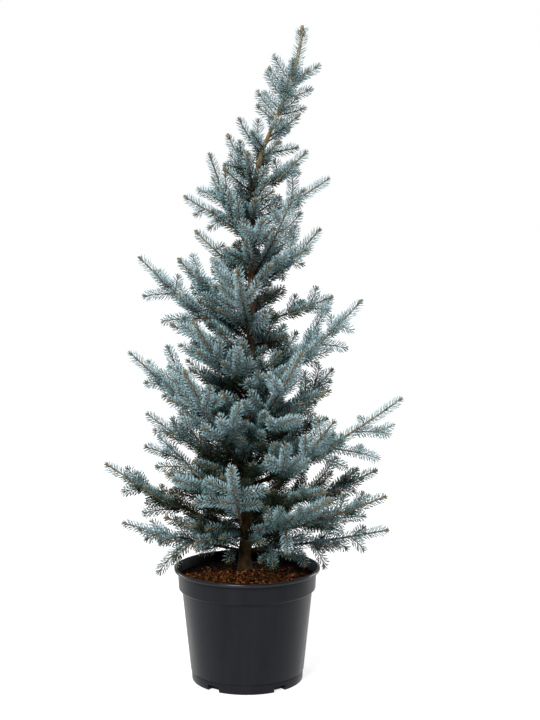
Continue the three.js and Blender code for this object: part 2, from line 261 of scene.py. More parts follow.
def newFinish(name, dark, light, scale, stretch=1.0, contrast=1.0, roughness=(0.5, 0.7),
              dust=None, bump=None, **shaderValues):
    # the way every finish is put together: mottled colour, dust on top, relief below
    finish = bpy.data.materials.new(name)
    finish.use_nodes = True
    tree = finish.node_tree
    shader = tree.nodes["Principled BSDF"]
    colours = useGroup(tree, mottleGroup, Dark=rgba(dark), Light=rgba(light), Scale=scale,
                       Stretch=stretch, Contrast=contrast)
    colour = colours.outputs["Color"]
    if dust:
        settled = useGroup(tree, dustGroup, Dust=rgba(dust["colour"]), Amount=dust["amount"],
                           Scale=dust["scale"])
        tree.links.new(colour, settled.inputs["Base"])
        colour = settled.outputs["Color"]
    tree.links.new(colour, shader.inputs["Base Color"])
    rough = newNode(tree, "ShaderNodeMapRange", {"To Min": roughness[0], "To Max": roughness[1]})
    tree.links.new(colours.outputs["Mask"], rough.inputs["Value"])
    tree.links.new(rough.outputs[0], shader.inputs["Roughness"])
    if bump:
        relief = useGroup(tree, reliefGroup, Scale=bump["scale"], Flakes=bump["flakes"],
                          Stretch=bump.get("stretch", 1.0))
        tilt = newNode(tree, "ShaderNodeBump",
                       {"Strength": bump["strength"], "Distance": bump["distance"]})
        tree.links.new(relief.outputs["Height"], tilt.inputs["Height"])
        tree.links.new(tilt.outputs["Normal"], shader.inputs["Normal"])
    for label, value in shaderValues.items():
        shader.inputs[label.replace("_", " ")].default_value = value
    return finish


# Finishes

needleTints = {
    # darker and paler colour and shine of each tint, from the fresh outer sprays inwards. They are
    # lit and shaded copies: the darker, duller tints are partly the older inner needles' own
    # colour and partly painted shade, the paler ones partly painted light
    "Silver": ((0.240, 0.375, 0.405), (0.420, 0.580, 0.610), 0.35),
    "Powder": ((0.145, 0.260, 0.285), (0.270, 0.420, 0.450), 0.35),
    "Steel": ((0.076, 0.160, 0.174), (0.160, 0.285, 0.298), 0.3),
    "Teal": ((0.032, 0.085, 0.075), (0.085, 0.173, 0.158), 0.2),
    "Shade": ((0.0058, 0.0154, 0.0050), (0.023, 0.046, 0.027), 0.06),
    "Straw": ((0.060, 0.040, 0.016), (0.300, 0.205, 0.085), 0.3),
}
needleFinishes = [
    newFinish("needle" + tint, dark, light, scale=260.0, contrast=0.8, roughness=(0.45, 0.62),
              Specular_IOR_Level=shine, Sheen_Weight=0.3 * shine, Sheen_Roughness=0.5)
    for tint, (dark, light, shine) in needleTints.items()
]
shootFinish = newFinish("youngStem", (0.100, 0.064, 0.030), (0.315, 0.225, 0.117), scale=300.0,
                        stretch=0.4, roughness=(0.5, 0.75),
                        bump={"scale": 900.0, "stretch": 0.5, "flakes": 0.4, "strength": 0.5,
                              "distance": 0.0004})
barkBump = {"scale": 260.0, "stretch": 0.5, "flakes": 0.6, "strength": 0.9, "distance": 0.0012}
# the old and middle bark are darker partly by age and partly as painted shade of the crown over
# the trunk and inner boughs
barkFinishes = [
    newFinish(name, dark, light, scale=110.0, stretch=0.45, contrast=1.1, roughness=(0.75, 0.95),
              dust={"colour": (0.20, 0.19, 0.14), "amount": dustAmount, "scale": 60.0},
              bump=barkBump, Specular_IOR_Level=0.12)
    for name, dark, light, dustAmount in (
        ("barkOldAndShaded", (0.006, 0.0034, 0.0009), (0.046, 0.027, 0.009), 0.01),
        ("barkMidAndShaded", (0.016, 0.009, 0.0045), (0.100, 0.058, 0.029), 0.04),
        ("barkYoung", (0.078, 0.055, 0.028), (0.265, 0.195, 0.104), 0.08),
    )
]
deadFinish = newFinish("deadTwig", (0.016, 0.010, 0.006), (0.075, 0.048, 0.028), scale=300.0,
                       roughness=(0.7, 0.9),
                       bump={"scale": 800.0, "stretch": 0.5, "flakes": 0.5, "strength": 0.5,
                             "distance": 0.0004}, Specular_IOR_Level=0.12)
budFinish = newFinish("budScale", (0.026, 0.017, 0.007), (0.255, 0.178, 0.070), scale=420.0,
                      contrast=1.5, roughness=(0.45, 0.7),
                      bump={"scale": 900.0, "flakes": 0.9, "strength": 0.6, "distance": 0.0003})
soilFinish = newFinish("compostBed", (0.002, 0.0007, 0.0002), (0.012, 0.004, 0.0013), scale=160.0,
                       contrast=1.3, roughness=(0.85, 1.0),
                       bump={"scale": 300.0, "flakes": 0.35, "strength": 1.0, "distance": 0.002},
                       Specular_IOR_Level=0.03)
crumbFinishes = [
    newFinish(name, dark, light, scale=420.0, contrast=1.2, roughness=(0.8, 1.0),
              bump={"scale": 700.0, "flakes": 0.4, "strength": 0.8, "distance": 0.0006},
              Specular_IOR_Level=0.05)
    for name, dark, light in (
        ("crumbPeat", (0.002, 0.0006, 0.0002), (0.012, 0.004, 0.0012)),
        ("crumbBark", (0.012, 0.0032, 0.0006), (0.080, 0.025, 0.0055)),
        ("crumbFibre", (0.080, 0.028, 0.007), (0.300, 0.125, 0.040)),
    )
]
potTones = ((0.0052, 0.0053, 0.0070), (0.0086, 0.0088, 0.0112))
potShine = (0.86, 0.92, 1.0, 1.0)
potFinish = newFinish("potPlastic", *potTones, scale=26.0, stretch=0.12, contrast=0.9,
                      roughness=(0.28, 0.42),
                      dust={"colour": (0.05, 0.045, 0.04), "amount": 0.08, "scale": 18.0},
                      bump={"scale": 1400.0, "flakes": 0.0, "strength": 0.10, "distance": 0.0003},
                      Specular_IOR_Level=0.125, Specular_Tint=potShine)
# painted shade: a darker, duller copy of the pot's plastic for the inner wall above the soil,
# where the crown's shadow falls
shadedLiningFinish = newFinish("potLiningShaded", (0.0020, 0.0020, 0.0024), (0.0035, 0.0035, 0.0040),
                         scale=26.0, roughness=(0.5, 0.7), Specular_IOR_Level=0.03)
rimFinish = newFinish("potRim", *potTones, scale=26.0, roughness=(0.26, 0.36),
                      Specular_IOR_Level=0.36, Specular_Tint=potShine)
floorFinish = newFinish("paleFloor", (0.30, 0.30, 0.30), (0.32, 0.32, 0.32), scale=3.0,
                        roughness=(0.7, 0.9), Specular_IOR_Level=0.1,
                        Emission_Color=(1, 1, 1, 1), Emission_Strength=0.77)
print("finishes made")


# Sizes of the trunk and its boughs, as the frame has them

wholeHeight = 1500.0
trunk = {
    "foot": 14.5,
    "tip": 4.0,
    "top": 1282.0,
    "soilTop": 252.0,
    "flareWidth": 5.5,
    "flareHeight": 26.0,
    "leanStart": -6.0,
    "leanSlope": 0.0255,
    "sway": 100.0,
    "swayFrom": 1122.0,
    "swayTo": 1490.0,
}
leaderTiers = [
    (1376, [(165, 38, 56), (5, 62, 34), (-80, 30, 42), (85, 42, 38)]),
    (1337, [(170, 38, 58), (10, 60, 22), (-95, 44, 40), (95, 48, 34)]),
    (1300, [(175, 42, 52), (20, 64, 18), (-70, 48, 38)]),
]
tiers = [
    (1252, [(-10, 66, 44)]),
    (1214, [(175, 50, 76), (5, 78, 15)]),
    (1190, [(92, 92, 66)]),
    (1150, [(170, 60, 103)]),
    (1126, [(5, 118, 92), (-100, 74, 84)]),
    (1066, [(-5, 168, 90)]),
    (1040, [(171, 154, 77), (110, 140, 95)]),
    (1000, [(-80, 137, 60)]),
    (984, [(-160, 100, 225)]),
    (935, [(168, 128, 102), (-50, 142, 180)]),
    (905, [(-12, 155, 136), (75, 175, 110)]),
    (828, [(-162, 165, 146), (12, 188, 60)]),
    (800, [(-97, 195, 154), (120, 205, 125)]),
    (774, [(178, 250, 204)]),
    (660, [(-130, 175, 172), (-5, 254, 220)]),
    (642, [(62, 240, 150), (122, 240, 150)]),
    (572, [(178, 270, 188), (-55, 206, 202)]),
    (548, [(24, 215, 165), (100, 270, 140)]),
    (478, [(-125, 225, 258), (160, 250, 130)]),
    (450, [(-2, 352, 206), (65, 300, 150)]),
    (400, [(-42, 260, 226), (140, 280, 140)]),
    (378, [(18, 322, 92), (105, 300, 120)]),
    (342, [(-178, 318, 162), (-50, 282, 118)]),
    (328, [(-12, 322, 112), (-96, 240, 208)]),
    (300, [(2, 328, 46), (172, 286, 56), (80, 290, 75)]),
]
bough = {"curve": 0.28, "slimness": 78.0, "tip": 2.0, "ownLimb": 331.0, "limbShare": 0.28}
growth = {
    "year": 84.0,  # length that a bough gains in a year
    "gain": 1.15,
    "spread": 48.0,
    "share": 0.62,
    "lift": 0.16,
    "forward": 0.1,
    "chance": 0.3,
    "shortest": 30.0,
    "depth": 2,
    "twigStart": 0.2,  # share of a twig without twigs of its own
}
fineGrowth = {
    "step": 44.0,  # stem between two side shoots
    "base": 30.0,
    "share": 0.28,
    "longest": 78.0,
    "shortest": 28.0,
    "spread": 52.0,
    "lone": 48.0,  # the last stretch of a stem carries no side shoot
    "room": 1.5,
    # each a least value and what chance adds to it
    "place": (0.3, 0.5),
    "reach": (0.75, 0.5),
    "opening": (0.85, 0.3),
    "roll": 1.3,
    "start": 0.14,
    "stop": 0.55,  # on a bough with strong side shoots, which stand past it
}
# length without needles at the foot of each kind of shoot
bareFoot = {"leader": 4.0, "leaderShoot": 5.0, "bough": 3.0, "sideShoot": 4.0, "twig": 6.0,
            "fineTwig": 3.0}
clearance = {
    "potSide": 8.0,  # inside the collar, for what hangs low over the soil
    "potTop": 4.0,
    "needleTip": 3.0,
    "needleTrunk": 0.5,
}
pot = {
    "height": 264.0,
    "rim": 170.0,
    "collarTop": 161.4,
    "collarBottom": 159.4,
    "collarHeight": 48.0,
    "bodyTop": 151.4,
    "bodyBottom": 131.9,
    "foot": 129.5,
    "footHeight": 22.5,
    "wall": 2.5,
    "steps": 144,
    "notches": 5,
    "firstNotch": -54.0,
    "notchWidth": 32.0,
    "notchHeight": 13.0,
    "notchDepth": 17.0,
    "notchRounding": 2.2,
    "nick": (4.0, 3.0, 3.0, math.radians(-88.0), 0.8),  # by the mould's gate
    "floor": 18.0,
    "roll": 7.0,  # the rolled rim is so high
    # the inner wall above this height takes the painted shade
    "shadeFoot": 200.0,
    "sharp": 32,
}


# The growing rule

def smoothStep(value, low, high):
    share = np.clip((value - low) / (high - low), 0.0, 1.0)
    return share * share * (3.0 - 2.0 * share)


def trunkPoint(height):
    height = np.asarray(height, dtype=float)
    bend = trunk["sway"] * smoothStep(height, trunk["swayFrom"], trunk["swayTo"])
    x = trunk["leanStart"] + trunk["leanSlope"] * (height - trunk["soilTop"]) + bend
    return np.stack([x, np.zeros_like(x), height], axis=-1)


def trunkRadius(height):
    # the same taper and flare as the node has
    height = np.asarray(height, dtype=float)
    share = np.clip((height - trunk["soilTop"]) / (trunk["top"] - trunk["soilTop"]), 0, 1)
    flare = trunk["flareWidth"] * np.exp(-2 * (height - trunk["soilTop"]) / trunk["flareHeight"])
    return trunk["foot"] + (trunk["tip"] - trunk["foot"]) * share + flare


def fromAxis(points):
    # how far each point is from the middle of the trunk, at its height
    return np.hypot(points[:, 0] - trunkPoint(points[:, 2])[:, 0], points[:, 1])


def arc(start, middle, end):
    # control points of the curve that passes through a middle point
    return np.array([start, 2 * middle - 0.5 * start - 0.5 * end, end])


def pointOn(curve, at):
    # one curve at many shares of its length, or many curves at once
    at = np.asarray(at, dtype=float)[..., None]
    start, middle, end = (curve[..., k, :] for k in range(3))
    return (1 - at) ** 2 * start + 2 * at * (1 - at) * middle + at**2 * end


def tangentOn(curve, at):
    at = np.asarray(at, dtype=float)[..., None]
    start, middle, end = (curve[..., k, :] for k in range(3))
    return unit((1 - at) * (middle - start) + at * (end - middle))


def lengthOf(curve):
    points = pointOn(curve, np.linspace(0, 1, 33))
    return float(np.linalg.norm(np.diff(points, axis=0), axis=1).sum())


def partOf(curve, start, end):
    return arc(pointOn(curve, start), pointOn(curve, (start + end) / 2), pointOn(curve, end))


def stemCurve(height, turn, reach, rise):
    foot = trunkPoint(height)
    angle = math.radians(turn)
    out = np.array([math.cos(angle), math.sin(angle), 0.0])
    # its middle lies below the straight line, so that the tip sweeps up
    middle = foot + out * reach / 2 + upward * rise * (0.5 - bough["curve"] / 4)
    return arc(foot, middle, foot + out * reach + upward * rise)


def seeded(seed):
    # chance from 0 to 1, the same on every run
    state = (seed * 7919 + 12345) % 2**32

    def draw():
        nonlocal state
        state = (state * 1664525 + 1013904223) % 2**32
        return state / 2**32

    return draw


masses = [{
    "stems": [arc(trunkPoint(trunk["top"]), trunkPoint((trunk["top"] + wholeHeight) / 2),
                  trunkPoint(wholeHeight))]
    + [stemCurve(height, *shape) for height, shapes in leaderTiers for shape in shapes],
    "radius": trunk["tip"],
    "kind": "treetop",
}]
for tierHeight, shapes in tiers:
    for shape in shapes:
        stem = stemCurve(tierHeight, *shape)
        stemLength = lengthOf(stem)
        masses.append({
            "stems": [stem],
            "radius": max(stemLength / bough["slimness"], bough["tip"]),
            "kind": "limbed" if stemLength >= bough["ownLimb"] else "plain",
        })

crown = {
    # outer radius of the crown at some heights
    "heights": [250, 420, 620, 850, 1050, 1250, 1500],
    "radii": [330, 345, 300, 255, 175, 95, 60],
    "shallow": 0.45,  # so much less of it stands out at -Y
    "mostOut": 0.93,
    "topFrom": 1200,  # above this nothing lies deep
    "topOut": 0.75,
    # how fast the light falls off inwards at some heights
    "powerHeights": [340, 640, 760],
    "powers": [1.5, 1.0, 0.84],
    # how much more or less light the needles get at some heights
    "lightHeights": [300, 350, 407, 465, 523, 600, 697, 850, 1000, 1100, 1250, 1330, 1420],
    "light": [-0.34, 0.05, -0.27, -0.29, 0.04, -0.01, 0.09, 0.14, 0.15, 0.10, 0.06, -0.08, 0.08],
}


def crownReach(height):
    return np.interp(height, crown["heights"], crown["radii"])


sideShoots = {
    # for a bough by its number: share of its length, and the tip of the side shoot there
    21: [(0.666, -230, -26, 894), (0.679, -158, 9, 934), (0.395, -185, -56, 839),
         (0.513, -138, -17, 889), (0.438, -135, 2, 822)],
    17: [(0.605, -124, 26, 982), (0.574, -122, -8, 912), (0.469, -119, 3, 898)],
    19: [(0.657, -67, -135, 973)],
    22: [(0.854, -139, -103, 831), (0.513, -147, -56, 783)],
    26: [(0.657, -227, -33, 697), (0.535, -186, -28, 666), (0.491, -164, -21, 659),
         (0.373, -172, -113, 783)],
    30: [(0.95, -164, -168, 747), (0.836, -136, -140, 715), (0.71, -52, -160, 676)],
    31: [(0.718, -213, 34, 577), (0.583, -172, 20, 605), (0.434, -150, -2, 596),
         (0.347, -151, -21, 624)],
    35: [(0.692, -241, 100, 528), (0.797, -189, 137, 522), (0.613, -215, 104, 479),
         (0.355, -167, 60, 437)],
    38: [(0.718, -287, 17, 436), (0.701, -255, 23, 477), (0.552, -232, 24, 408),
         (0.443, -242, 53, 378), (0.587, -198, 4, 450), (0.229, -102, 32, 407)],
    39: [(0.484, 91, -145, 334)],
    41: [(0.71, -84, -185, 499), (0.70, 44, -185, 479), (0.61, -107, -160, 448),
         (0.58, 31, -160, 441), (0.376, -55, -90, 438)],
    43: [(0.457, -203, -27, 257), (0.407, -165, -14, 291), (0.091, -41, -46, 288),
         (0.705, -234, 9, 326), (0.583, -201, 2, 318), (0.167, -76, 26, 358),
         (0.334, -120, 26, 353), (0.456, -166, 7, 372)],
    18: [(0.731, 159, 25, 908), (0.653, 185, -12, 862), (0.469, 111, 20, 890)],
    23: [(0.797, 237, -23, 817), (0.749, 192, -11, 843), (0.622, 224, -14, 775),
         (0.605, 163, 9, 815), (0.508, 143, 21, 809), (0.465, 158, -16, 741),
         (0.377, 193, 117, 879)],
    28: [(0.797, 191, 48, 690), (0.705, 188, 38, 670), (0.675, 135, 56, 710),
         (0.613, 156, 44, 641), (0.766, 167, 43, 724), (0.539, 154, 57, 614)],
    32: [(0.771, 260, -9, 613), (0.692, 329, 41, 569), (0.517, 304, 45, 511),
         (0.609, 217, -1, 570), (0.43, 227, 5, 497)],
    34: [(0.841, 192, -142, 592), (0.863, 158, -150, 628)],
    36: [(0.688, 255, 38, 484), (0.408, 203, -2, 517), (0.605, 247, 20, 437),
         (0.644, 229, 41, 464)],
    40: [(0.784, 264, -34, 441), (0.657, 225, -27, 435), (0.53, 272, 37, 374),
         (0.399, 219, 26, 341)],
    42: [(0.475, 178, -30, 272), (0.163, 58, -98, 288), (0.330, 132, -58, 284),
         (0.758, 268, -14, 357), (0.745, 270, 2, 304), (0.618, 229, -19, 311),
         (0.517, 192, -12, 357)],
    12: [(0.565, -107, 18, 1134), (0.482, -82, -34, 1048)],
    9: [(0.517, -77, 1, 1084), (0.714, -116, 21, 1080)],
    13: [(0.53, -78, 18, 975), (0.675, -57, 28, 1007)],
    8: [(0.517, 103, -13, 1164), (0.395, 116, -8, 1079), (0.622, 118, -17, 1099)],
    6: [(0.6, 116, -3, 1172), (0.469, 64, 7, 1197)],
    15: [(0.679, 142, 0, 1002), (0.552, 125, -22, 967), (0.438, 82, -28, 935),
         (0.487, 111, 39, 1050)],
    5: [(0.438, -14, -32, 1237), (0.285, -46, -21, 1189)],
    4: [(0.701, 25, 66, 1292)],
    1: [(0.159, 92, 22, 1270), (0.08, 73, -3, 1241), (0.425, 87, 11, 1289)],
}

# gaps between the sprays that stay open from -Y: x, z and radius, in the plane of the trunk
openings = np.array([
    (106, 934, 26), (228, 586, 22), (201, 676, 19), (-139, 526, 18), (-83, 1096, 18),
    (168, 836, 17), (-71, 993, 16), (-192, 555, 16), (125, 1042, 16), (-171, 623, 14),
    (287, 621, 14), (78, 1138, 12), (240, 346, 12), (187, 341, 12), (-227, 472, 12),
    (73, 866, 11), (137, 728, 11), (15, 1279, 11), (-36, 1025, 11), (107, 793, 11),
    (-189, 457, 11), (-60, 1200, 10), (-89, 969, 9), (126, 1106, 9), (-134, 304, 8),
    (-52, 708, 2),
])
openView = {"x": 53.0, "y": -3000.0, "z": 1024.0, "margin": 7.0}  # the camera stands here too


def untilOpening(curve):
    # the part of a shoot that stops short of the gaps, or nothing if hardly any is left
    step = 0.05
    shares = np.linspace(2 * step, 1, 19)
    points = pointOn(curve, shares)
    nearer = openView["y"] / (openView["y"] - points[:, 1])
    x = openView["x"] + (points[:, 0] - openView["x"]) * nearer
    z = openView["z"] + (points[:, 2] - openView["z"]) * nearer
    away = np.hypot(x[:, None] - openings[:, 0], z[:, None] - openings[:, 1])
    inside = (away < openings[:, 2] + openView["margin"]).any(axis=1)
    if not inside.any():
        return curve
    share = shares[np.argmax(inside)] - step
    if share * lengthOf(curve) < fineGrowth["shortest"]:
        return None
    return partOf(curve, 0.0, share)


# slighter boughs between the tiers fill the inner crown and carry no mass of their own
fillers = {
    "from": 290.0,
    "to": 1255.0,
    "step": 12.5,
    "turn": 137.5,
    "turnVaries": 30,
    "reach": (0.40, 0.76),
    "rise": (0.20, 0.62),  # rise over reach, at the lowest and the highest
    "riseVaries": (0.75, 0.5),
    "apart": 24.0,  # degrees kept free on either side of -Y
    "radius": 2.0,
    "slimness": 90.0,
    "thinnest": 1.6,
    "bare": 0.1,
    "frontLight": 0.55,
}
lowBoughs = [
    # height on the trunk, heading, reach, rise, the share that is bare, and the least light
    (303, 30, 150, 6, 0.3, 0.0), (330, 150, 165, 40, 0.2, 0.0), (345, -150, 150, 30, 0.25, 0.6),
    (328, -66, 96, 12, 0.1, 0.45), (336, -118, 102, 14, 0.1, 0.62),
    (352, -128, 132, 24, 0.1, 0.62), (340, -138, 142, 6, 0.15, 0.6),
]
frontBoughs = [
    (392, -78, 120, 58), (428, -112, 132, 66), (468, -58, 118, 62), (512, -96, 128, 72),
    (540, -112, 120, 52), (556, -70, 112, 60), (602, -116, 122, 78), (648, -70, 108, 68),
    (700, -48, 102, 66), (724, -98, 96, 66), (748, -128, 108, 74), (798, -70, 98, 62),
    (856, -118, 92, 60), (908, -60, 86, 54), (962, -98, 80, 50), (1010, -104, 76, 50),
    (1062, -84, 68, 46), (1108, -60, 62, 44), (1160, -116, 56, 42),
    (610, -142, 150, 84), (575, -38, 150, 80), (470, -148, 150, 56), (500, -32, 150, 62),
    (395, -140, 150, 34), (405, -40, 150, 40),
]
rearBoughs = [(326 + 38 * k, (96, 58, 132, 78, 112)[k % 5], 176 - 5 * k, 70 + 30 * (k % 2))
              for k in range(22)]


def addFiller(stem, radius, **looks):
    stem = untilOpening(stem)
    if stem is not None:
        masses.append({"stems": [stem], "radius": radius, "kind": "filler", **looks})


for *shape, bareShare, lit in (
        lowBoughs + [(*shape, fillers["bare"], fillers["frontLight"]) for shape in frontBoughs]
        + [(*shape, fillers["bare"], 0.0) for shape in rearBoughs]):
    addFiller(stemCurve(*shape), fillers["radius"], bare=bareShare, lit=lit)
for index in range(int((fillers["to"] - fillers["from"]) / fillers["step"])):
    height = fillers["from"] + fillers["step"] * index
    upAlong = (height - fillers["from"]) / (fillers["to"] - fillers["from"])
    (low, high), (least, more) = fillers["rise"], fillers["riseVaries"]
    slope = (low + (high - low) * upAlong) * (least + more * seeded(index + 950)())
    low, high = fillers["reach"]
    reach = float(crownReach(height)) * (low + (high - low) * seeded(index + 900)())
    turn = index * fillers["turn"] + fillers["turnVaries"] * seeded(index + 970)()
    if abs((turn + 90 + 180) % 360 - 180) >= fillers["apart"]:
        addFiller(stemCurve(height, turn, reach, reach * slope),
                  max(reach / fillers["slimness"], fillers["thinnest"]))


def linesAlong(curve):
    points = pointOn(curve, np.linspace(0, 1, 9))
    return np.stack([points[:-1], points[1:]], axis=1)


for index, mass in enumerate(masses):
    mass["seed"] = index + 1
    mass["lines"] = np.concatenate([linesAlong(stem) for stem in mass["stems"]])
allLines = np.concatenate([mass["lines"] for mass in masses])
lineOwner = np.concatenate([np.full(len(mass["lines"]), i) for i, mass in enumerate(masses)])
lineIsMain = np.array([masses[i]["kind"] != "filler" for i in lineOwner])


def distances(points):
    # from each point to each stretch of stem
    start = allLines[:, 0][None]
    along = (allLines[:, 1] - allLines[:, 0])[None]
    share = ((points[:, None] - start) * along).sum(-1) / (along * along).sum(-1)
    nearest = start + np.clip(share, 0, 1)[..., None] * along
    return np.linalg.norm(points[:, None] - nearest, axis=-1)


def inSpace(owner, points, grown):
    # nearer to its own stem than to any other, clear of trunk, pot and soil
    clear = fineGrowth["room"] + grown
    across, height = np.hypot(points[:, 0], points[:, 1]), points[:, 2]
    overSoil = across < pot["collarBottom"] - clearance["potSide"]
    floorHere = np.where(overSoil, trunk["soilTop"], pot["height"])
    good = ~((across < pot["rim"] + clearance["potTop"] + grown)
             & (height < floorHere + clearance["potTop"] + grown))
    good &= height <= wholeHeight
    good &= (height >= trunk["top"]) | (fromAxis(points) - trunkRadius(height) >= clear)
    away = distances(points)
    own = lineOwner == owner
    mine = away[:, own].min(axis=1)
    nearestOther = away[:, lineIsMain & ~own].min(axis=1)
    return good & (nearestOther > mine + 2 * clear)


def shareInSpace(owner, curve, grown=2.3):
    # how much of a shoot has room, in twelfths. The first two always count.
    first, whole = 3, 12
    good = inSpace(owner, pointOn(curve, np.arange(first, whole + 1) / whole), grown)
    return 1.0 if good.all() else float((np.argmin(good) + first - 1) / whole)


def twigCurve(stem, at, side, reach, spread, lift=growth["lift"], roll=0.0):
    # a twig that leaves a stem to one side, at a share of its length
    foot = pointOn(stem, at)
    forward = tangentOn(stem, at)
    across = unit(np.cross(forward, upward)) * side
    above = np.cross(across, forward) * side
    across = across * math.cos(roll) + above * math.sin(roll)
    angle = math.radians(spread)
    heading = forward * math.cos(angle) + across * math.sin(angle)
    tip = foot + heading * reach + forward * reach * growth["forward"]
    tip[2] += reach * lift
    return arc(foot, foot + heading * reach / 2, tip)


shoots = []


def keepShoot(owner, curve, level, bare, lit=0.0):
    # bare is the length without needles at its foot, lit the least that they stand in the light
    shoots.append({"owner": owner, "curve": curve, "level": level, "bare": bare,
                   "length": lengthOf(curve), "lit": lit})
    return shoots[-1]


def growTwigs(owner, stem, start, seed, depth):
    # a pair of twigs at the end of each year's growth, and twigs on those in turn
    draw = seeded(seed)
    length = lengthOf(stem)
    years = round(length / growth["year"])
    grown = []
    for year in range(1, years):
        at = (year / years) ** growth["gain"]
        for side in (1, -1):
            reach = growth["share"] * length * (1 - at) * (1 + growth["chance"] * (draw() - 0.5))
            spread = growth["spread"] * (1 + growth["chance"] * (draw() - 0.5))
            following = math.floor(draw() * 1e6)
            if at < start:
                continue
            whole = twigCurve(stem, at, side, reach, spread)
            share = shareInSpace(owner, whole)
            if reach * share < growth["shortest"]:
                continue
            kept = untilOpening(partOf(whole, 0.0, share))
            if kept is None:
                continue
            level = growth["depth"] - depth + 1
            grown.append(keepShoot(owner, kept, level, bareFoot["twig"]))
            if depth > 1:
                grown += growTwigs(owner, kept, growth["twigStart"], following, depth - 1)
    return grown


def growFineTwigs(owner, stem, start, seed, level, last=1.0, lit=0.0):
    # single side shoots along a stem, to the sides and a little above and below
    draw = seeded(seed)
    length = lengthOf(stem)
    end = min(last, 1 - fineGrowth["lone"] / length)
    count = int(length * (end - start) / fineGrowth["step"] + 0.5)
    place, farther, opening = (fineGrowth[key] for key in ("place", "reach", "opening"))
    for k in range(count):
        at = start + (end - start) * (k + place[0] + place[1] * draw()) / count
        side = 1 if (k + seed) % 2 else -1
        beyond = fineGrowth["share"] * length * (1 - at)
        wanted = (fineGrowth["base"] + beyond) * (farther[0] + farther[1] * draw())
        reach = min(fineGrowth["longest"], wanted)
        spread = fineGrowth["spread"] * (opening[0] + opening[1] * draw())
        roll = fineGrowth["roll"] * (draw() - 0.4)  # a little more of them above than below
        whole = twigCurve(stem, at, side, reach, spread, roll=roll)
        share = shareInSpace(owner, whole, 1.0)
        if reach * share < fineGrowth["shortest"]:
            continue
        kept = untilOpening(partOf(whole, 0.0, share))
        if kept is not None:
            keepShoot(owner, kept, level, bareFoot["fineTwig"], lit)


strongShoots = {"light": 0.72, "twigLight": 0.62, "bulge": 0.05, "longest": 70, "start": 0.25}
openSpray = {"bough": 41, "bare": 0.5}  # it has its side shoots alone, so they stand apart
# the least light on all the needles of a low bough
litBoughs = {39: 0.8, 41: 1.15, 42: 0.84, 43: 0.72, 44: 0.4}


def growSideShoots(owner, stem, seed):
    # the strong side shoots that stand out from a bough
    for number, (at, *tip) in enumerate(sideShoots.get(owner, [])):
        foot, tip = pointOn(stem, at), np.array(tip, dtype=float)
        reach = np.linalg.norm(tip - foot)
        middle = (foot + tip) / 2 + tangentOn(stem, at) * reach * strongShoots["bulge"]
        curve = arc(foot, middle, tip)
        keepShoot(owner, curve, 1, bareFoot["sideShoot"], strongShoots["light"])
        if reach > strongShoots["longest"]:  # such a one carries twigs
            growFineTwigs(owner, curve, strongShoots["start"], seed + number, 3,
                          lit=strongShoots["twigLight"])


leaderShoots = {
    "from": 1262.0,
    "to": 1392.0,
    "step": 13.0,
    "stepVaries": 0.6,
    "turn": 137.5,
    "turnFrom": -80,
    "turnVaries": 40,
    "reach": (34.0, 58.0),
    "rise": (22.0, 46.0),
}


def growLeaderShoots():
    # slighter shoots between the whorls of the treetop
    rule = leaderShoots
    (near, far), (low, high) = rule["reach"], rule["rise"]
    for index in range(int((rule["to"] - rule["from"]) / rule["step"])):
        draw = seeded(index + 4000)
        height = rule["from"] + rule["step"] * (index + rule["stepVaries"] * draw())
        turn = rule["turn"] * index + rule["turnVaries"] * draw() + rule["turnFrom"]
        reach = near + (far - near) * draw()
        stem = untilOpening(stemCurve(height, turn, reach, low + (high - low) * draw()))
        if stem is not None:
            keepShoot(0, stem, 1, bareFoot["leaderShoot"])


for index, mass in enumerate(masses):
    isTop = mass["kind"] == "treetop"
    start = bough["limbShare"] if mass["kind"] == "limbed" else 0.0
    bareShare = openSpray["bare"] if index == openSpray["bough"] else mass.get("bare", 0.0)
    for k, stem in enumerate(mass["stems"]):
        inTrunk = float(trunkRadius(stem[0, 2]))
        bare = bareFoot["leader"] if isTop else inTrunk + bareFoot["bough"]
        keepShoot(index, stem, 0, max(bare, bareShare * lengthOf(stem)), mass.get("lit", 0.0))
    if isTop:
        continue
    stem = mass["stems"][0]
    if index == openSpray["bough"]:
        growSideShoots(index, stem, mass["seed"] * 60 + 900)
        continue
    coarse = growTwigs(index, stem, max(start + 0.05, bareShare), mass["seed"], growth["depth"])
    growSideShoots(index, stem, mass["seed"] * 60 + 900)
    last = fineGrowth["stop"] if index in sideShoots else 1.0
    growFineTwigs(index, stem, max(fineGrowth["start"], bareShare), mass["seed"] + 300, 2, last)
    for k, twig in enumerate(coarse):
        growFineTwigs(index, twig["curve"], growth["twigStart"], mass["seed"] * 40 + k + 5000, 3)
growLeaderShoots()
for shoot in shoots:
    shoot["lit"] = max(shoot["lit"], litBoughs.get(shoot["owner"], 0.0))


def standsOut(points):
    # from 0 at the trunk to about 1 at the edge of the crown, with the front towards -Y counted
    # shallower and the top counted near the edge. It sets the painted light and shade of the
    # needle tints and of the inner twigs' bark
    height, away = points[:, 2], fromAxis(points)
    frontness = np.clip(-points[:, 1] / np.maximum(away, 1), 0, 1)
    reachHere = crownReach(height) * (1 - crown["shallow"] * frontness)
    share = np.clip(away / reachHere, 0, crown["mostOut"])
    share = np.where(height > crown["topFrom"], np.maximum(share, crown["topOut"]), share)
    return share ** np.interp(height, crown["powerHeights"], crown["powers"])


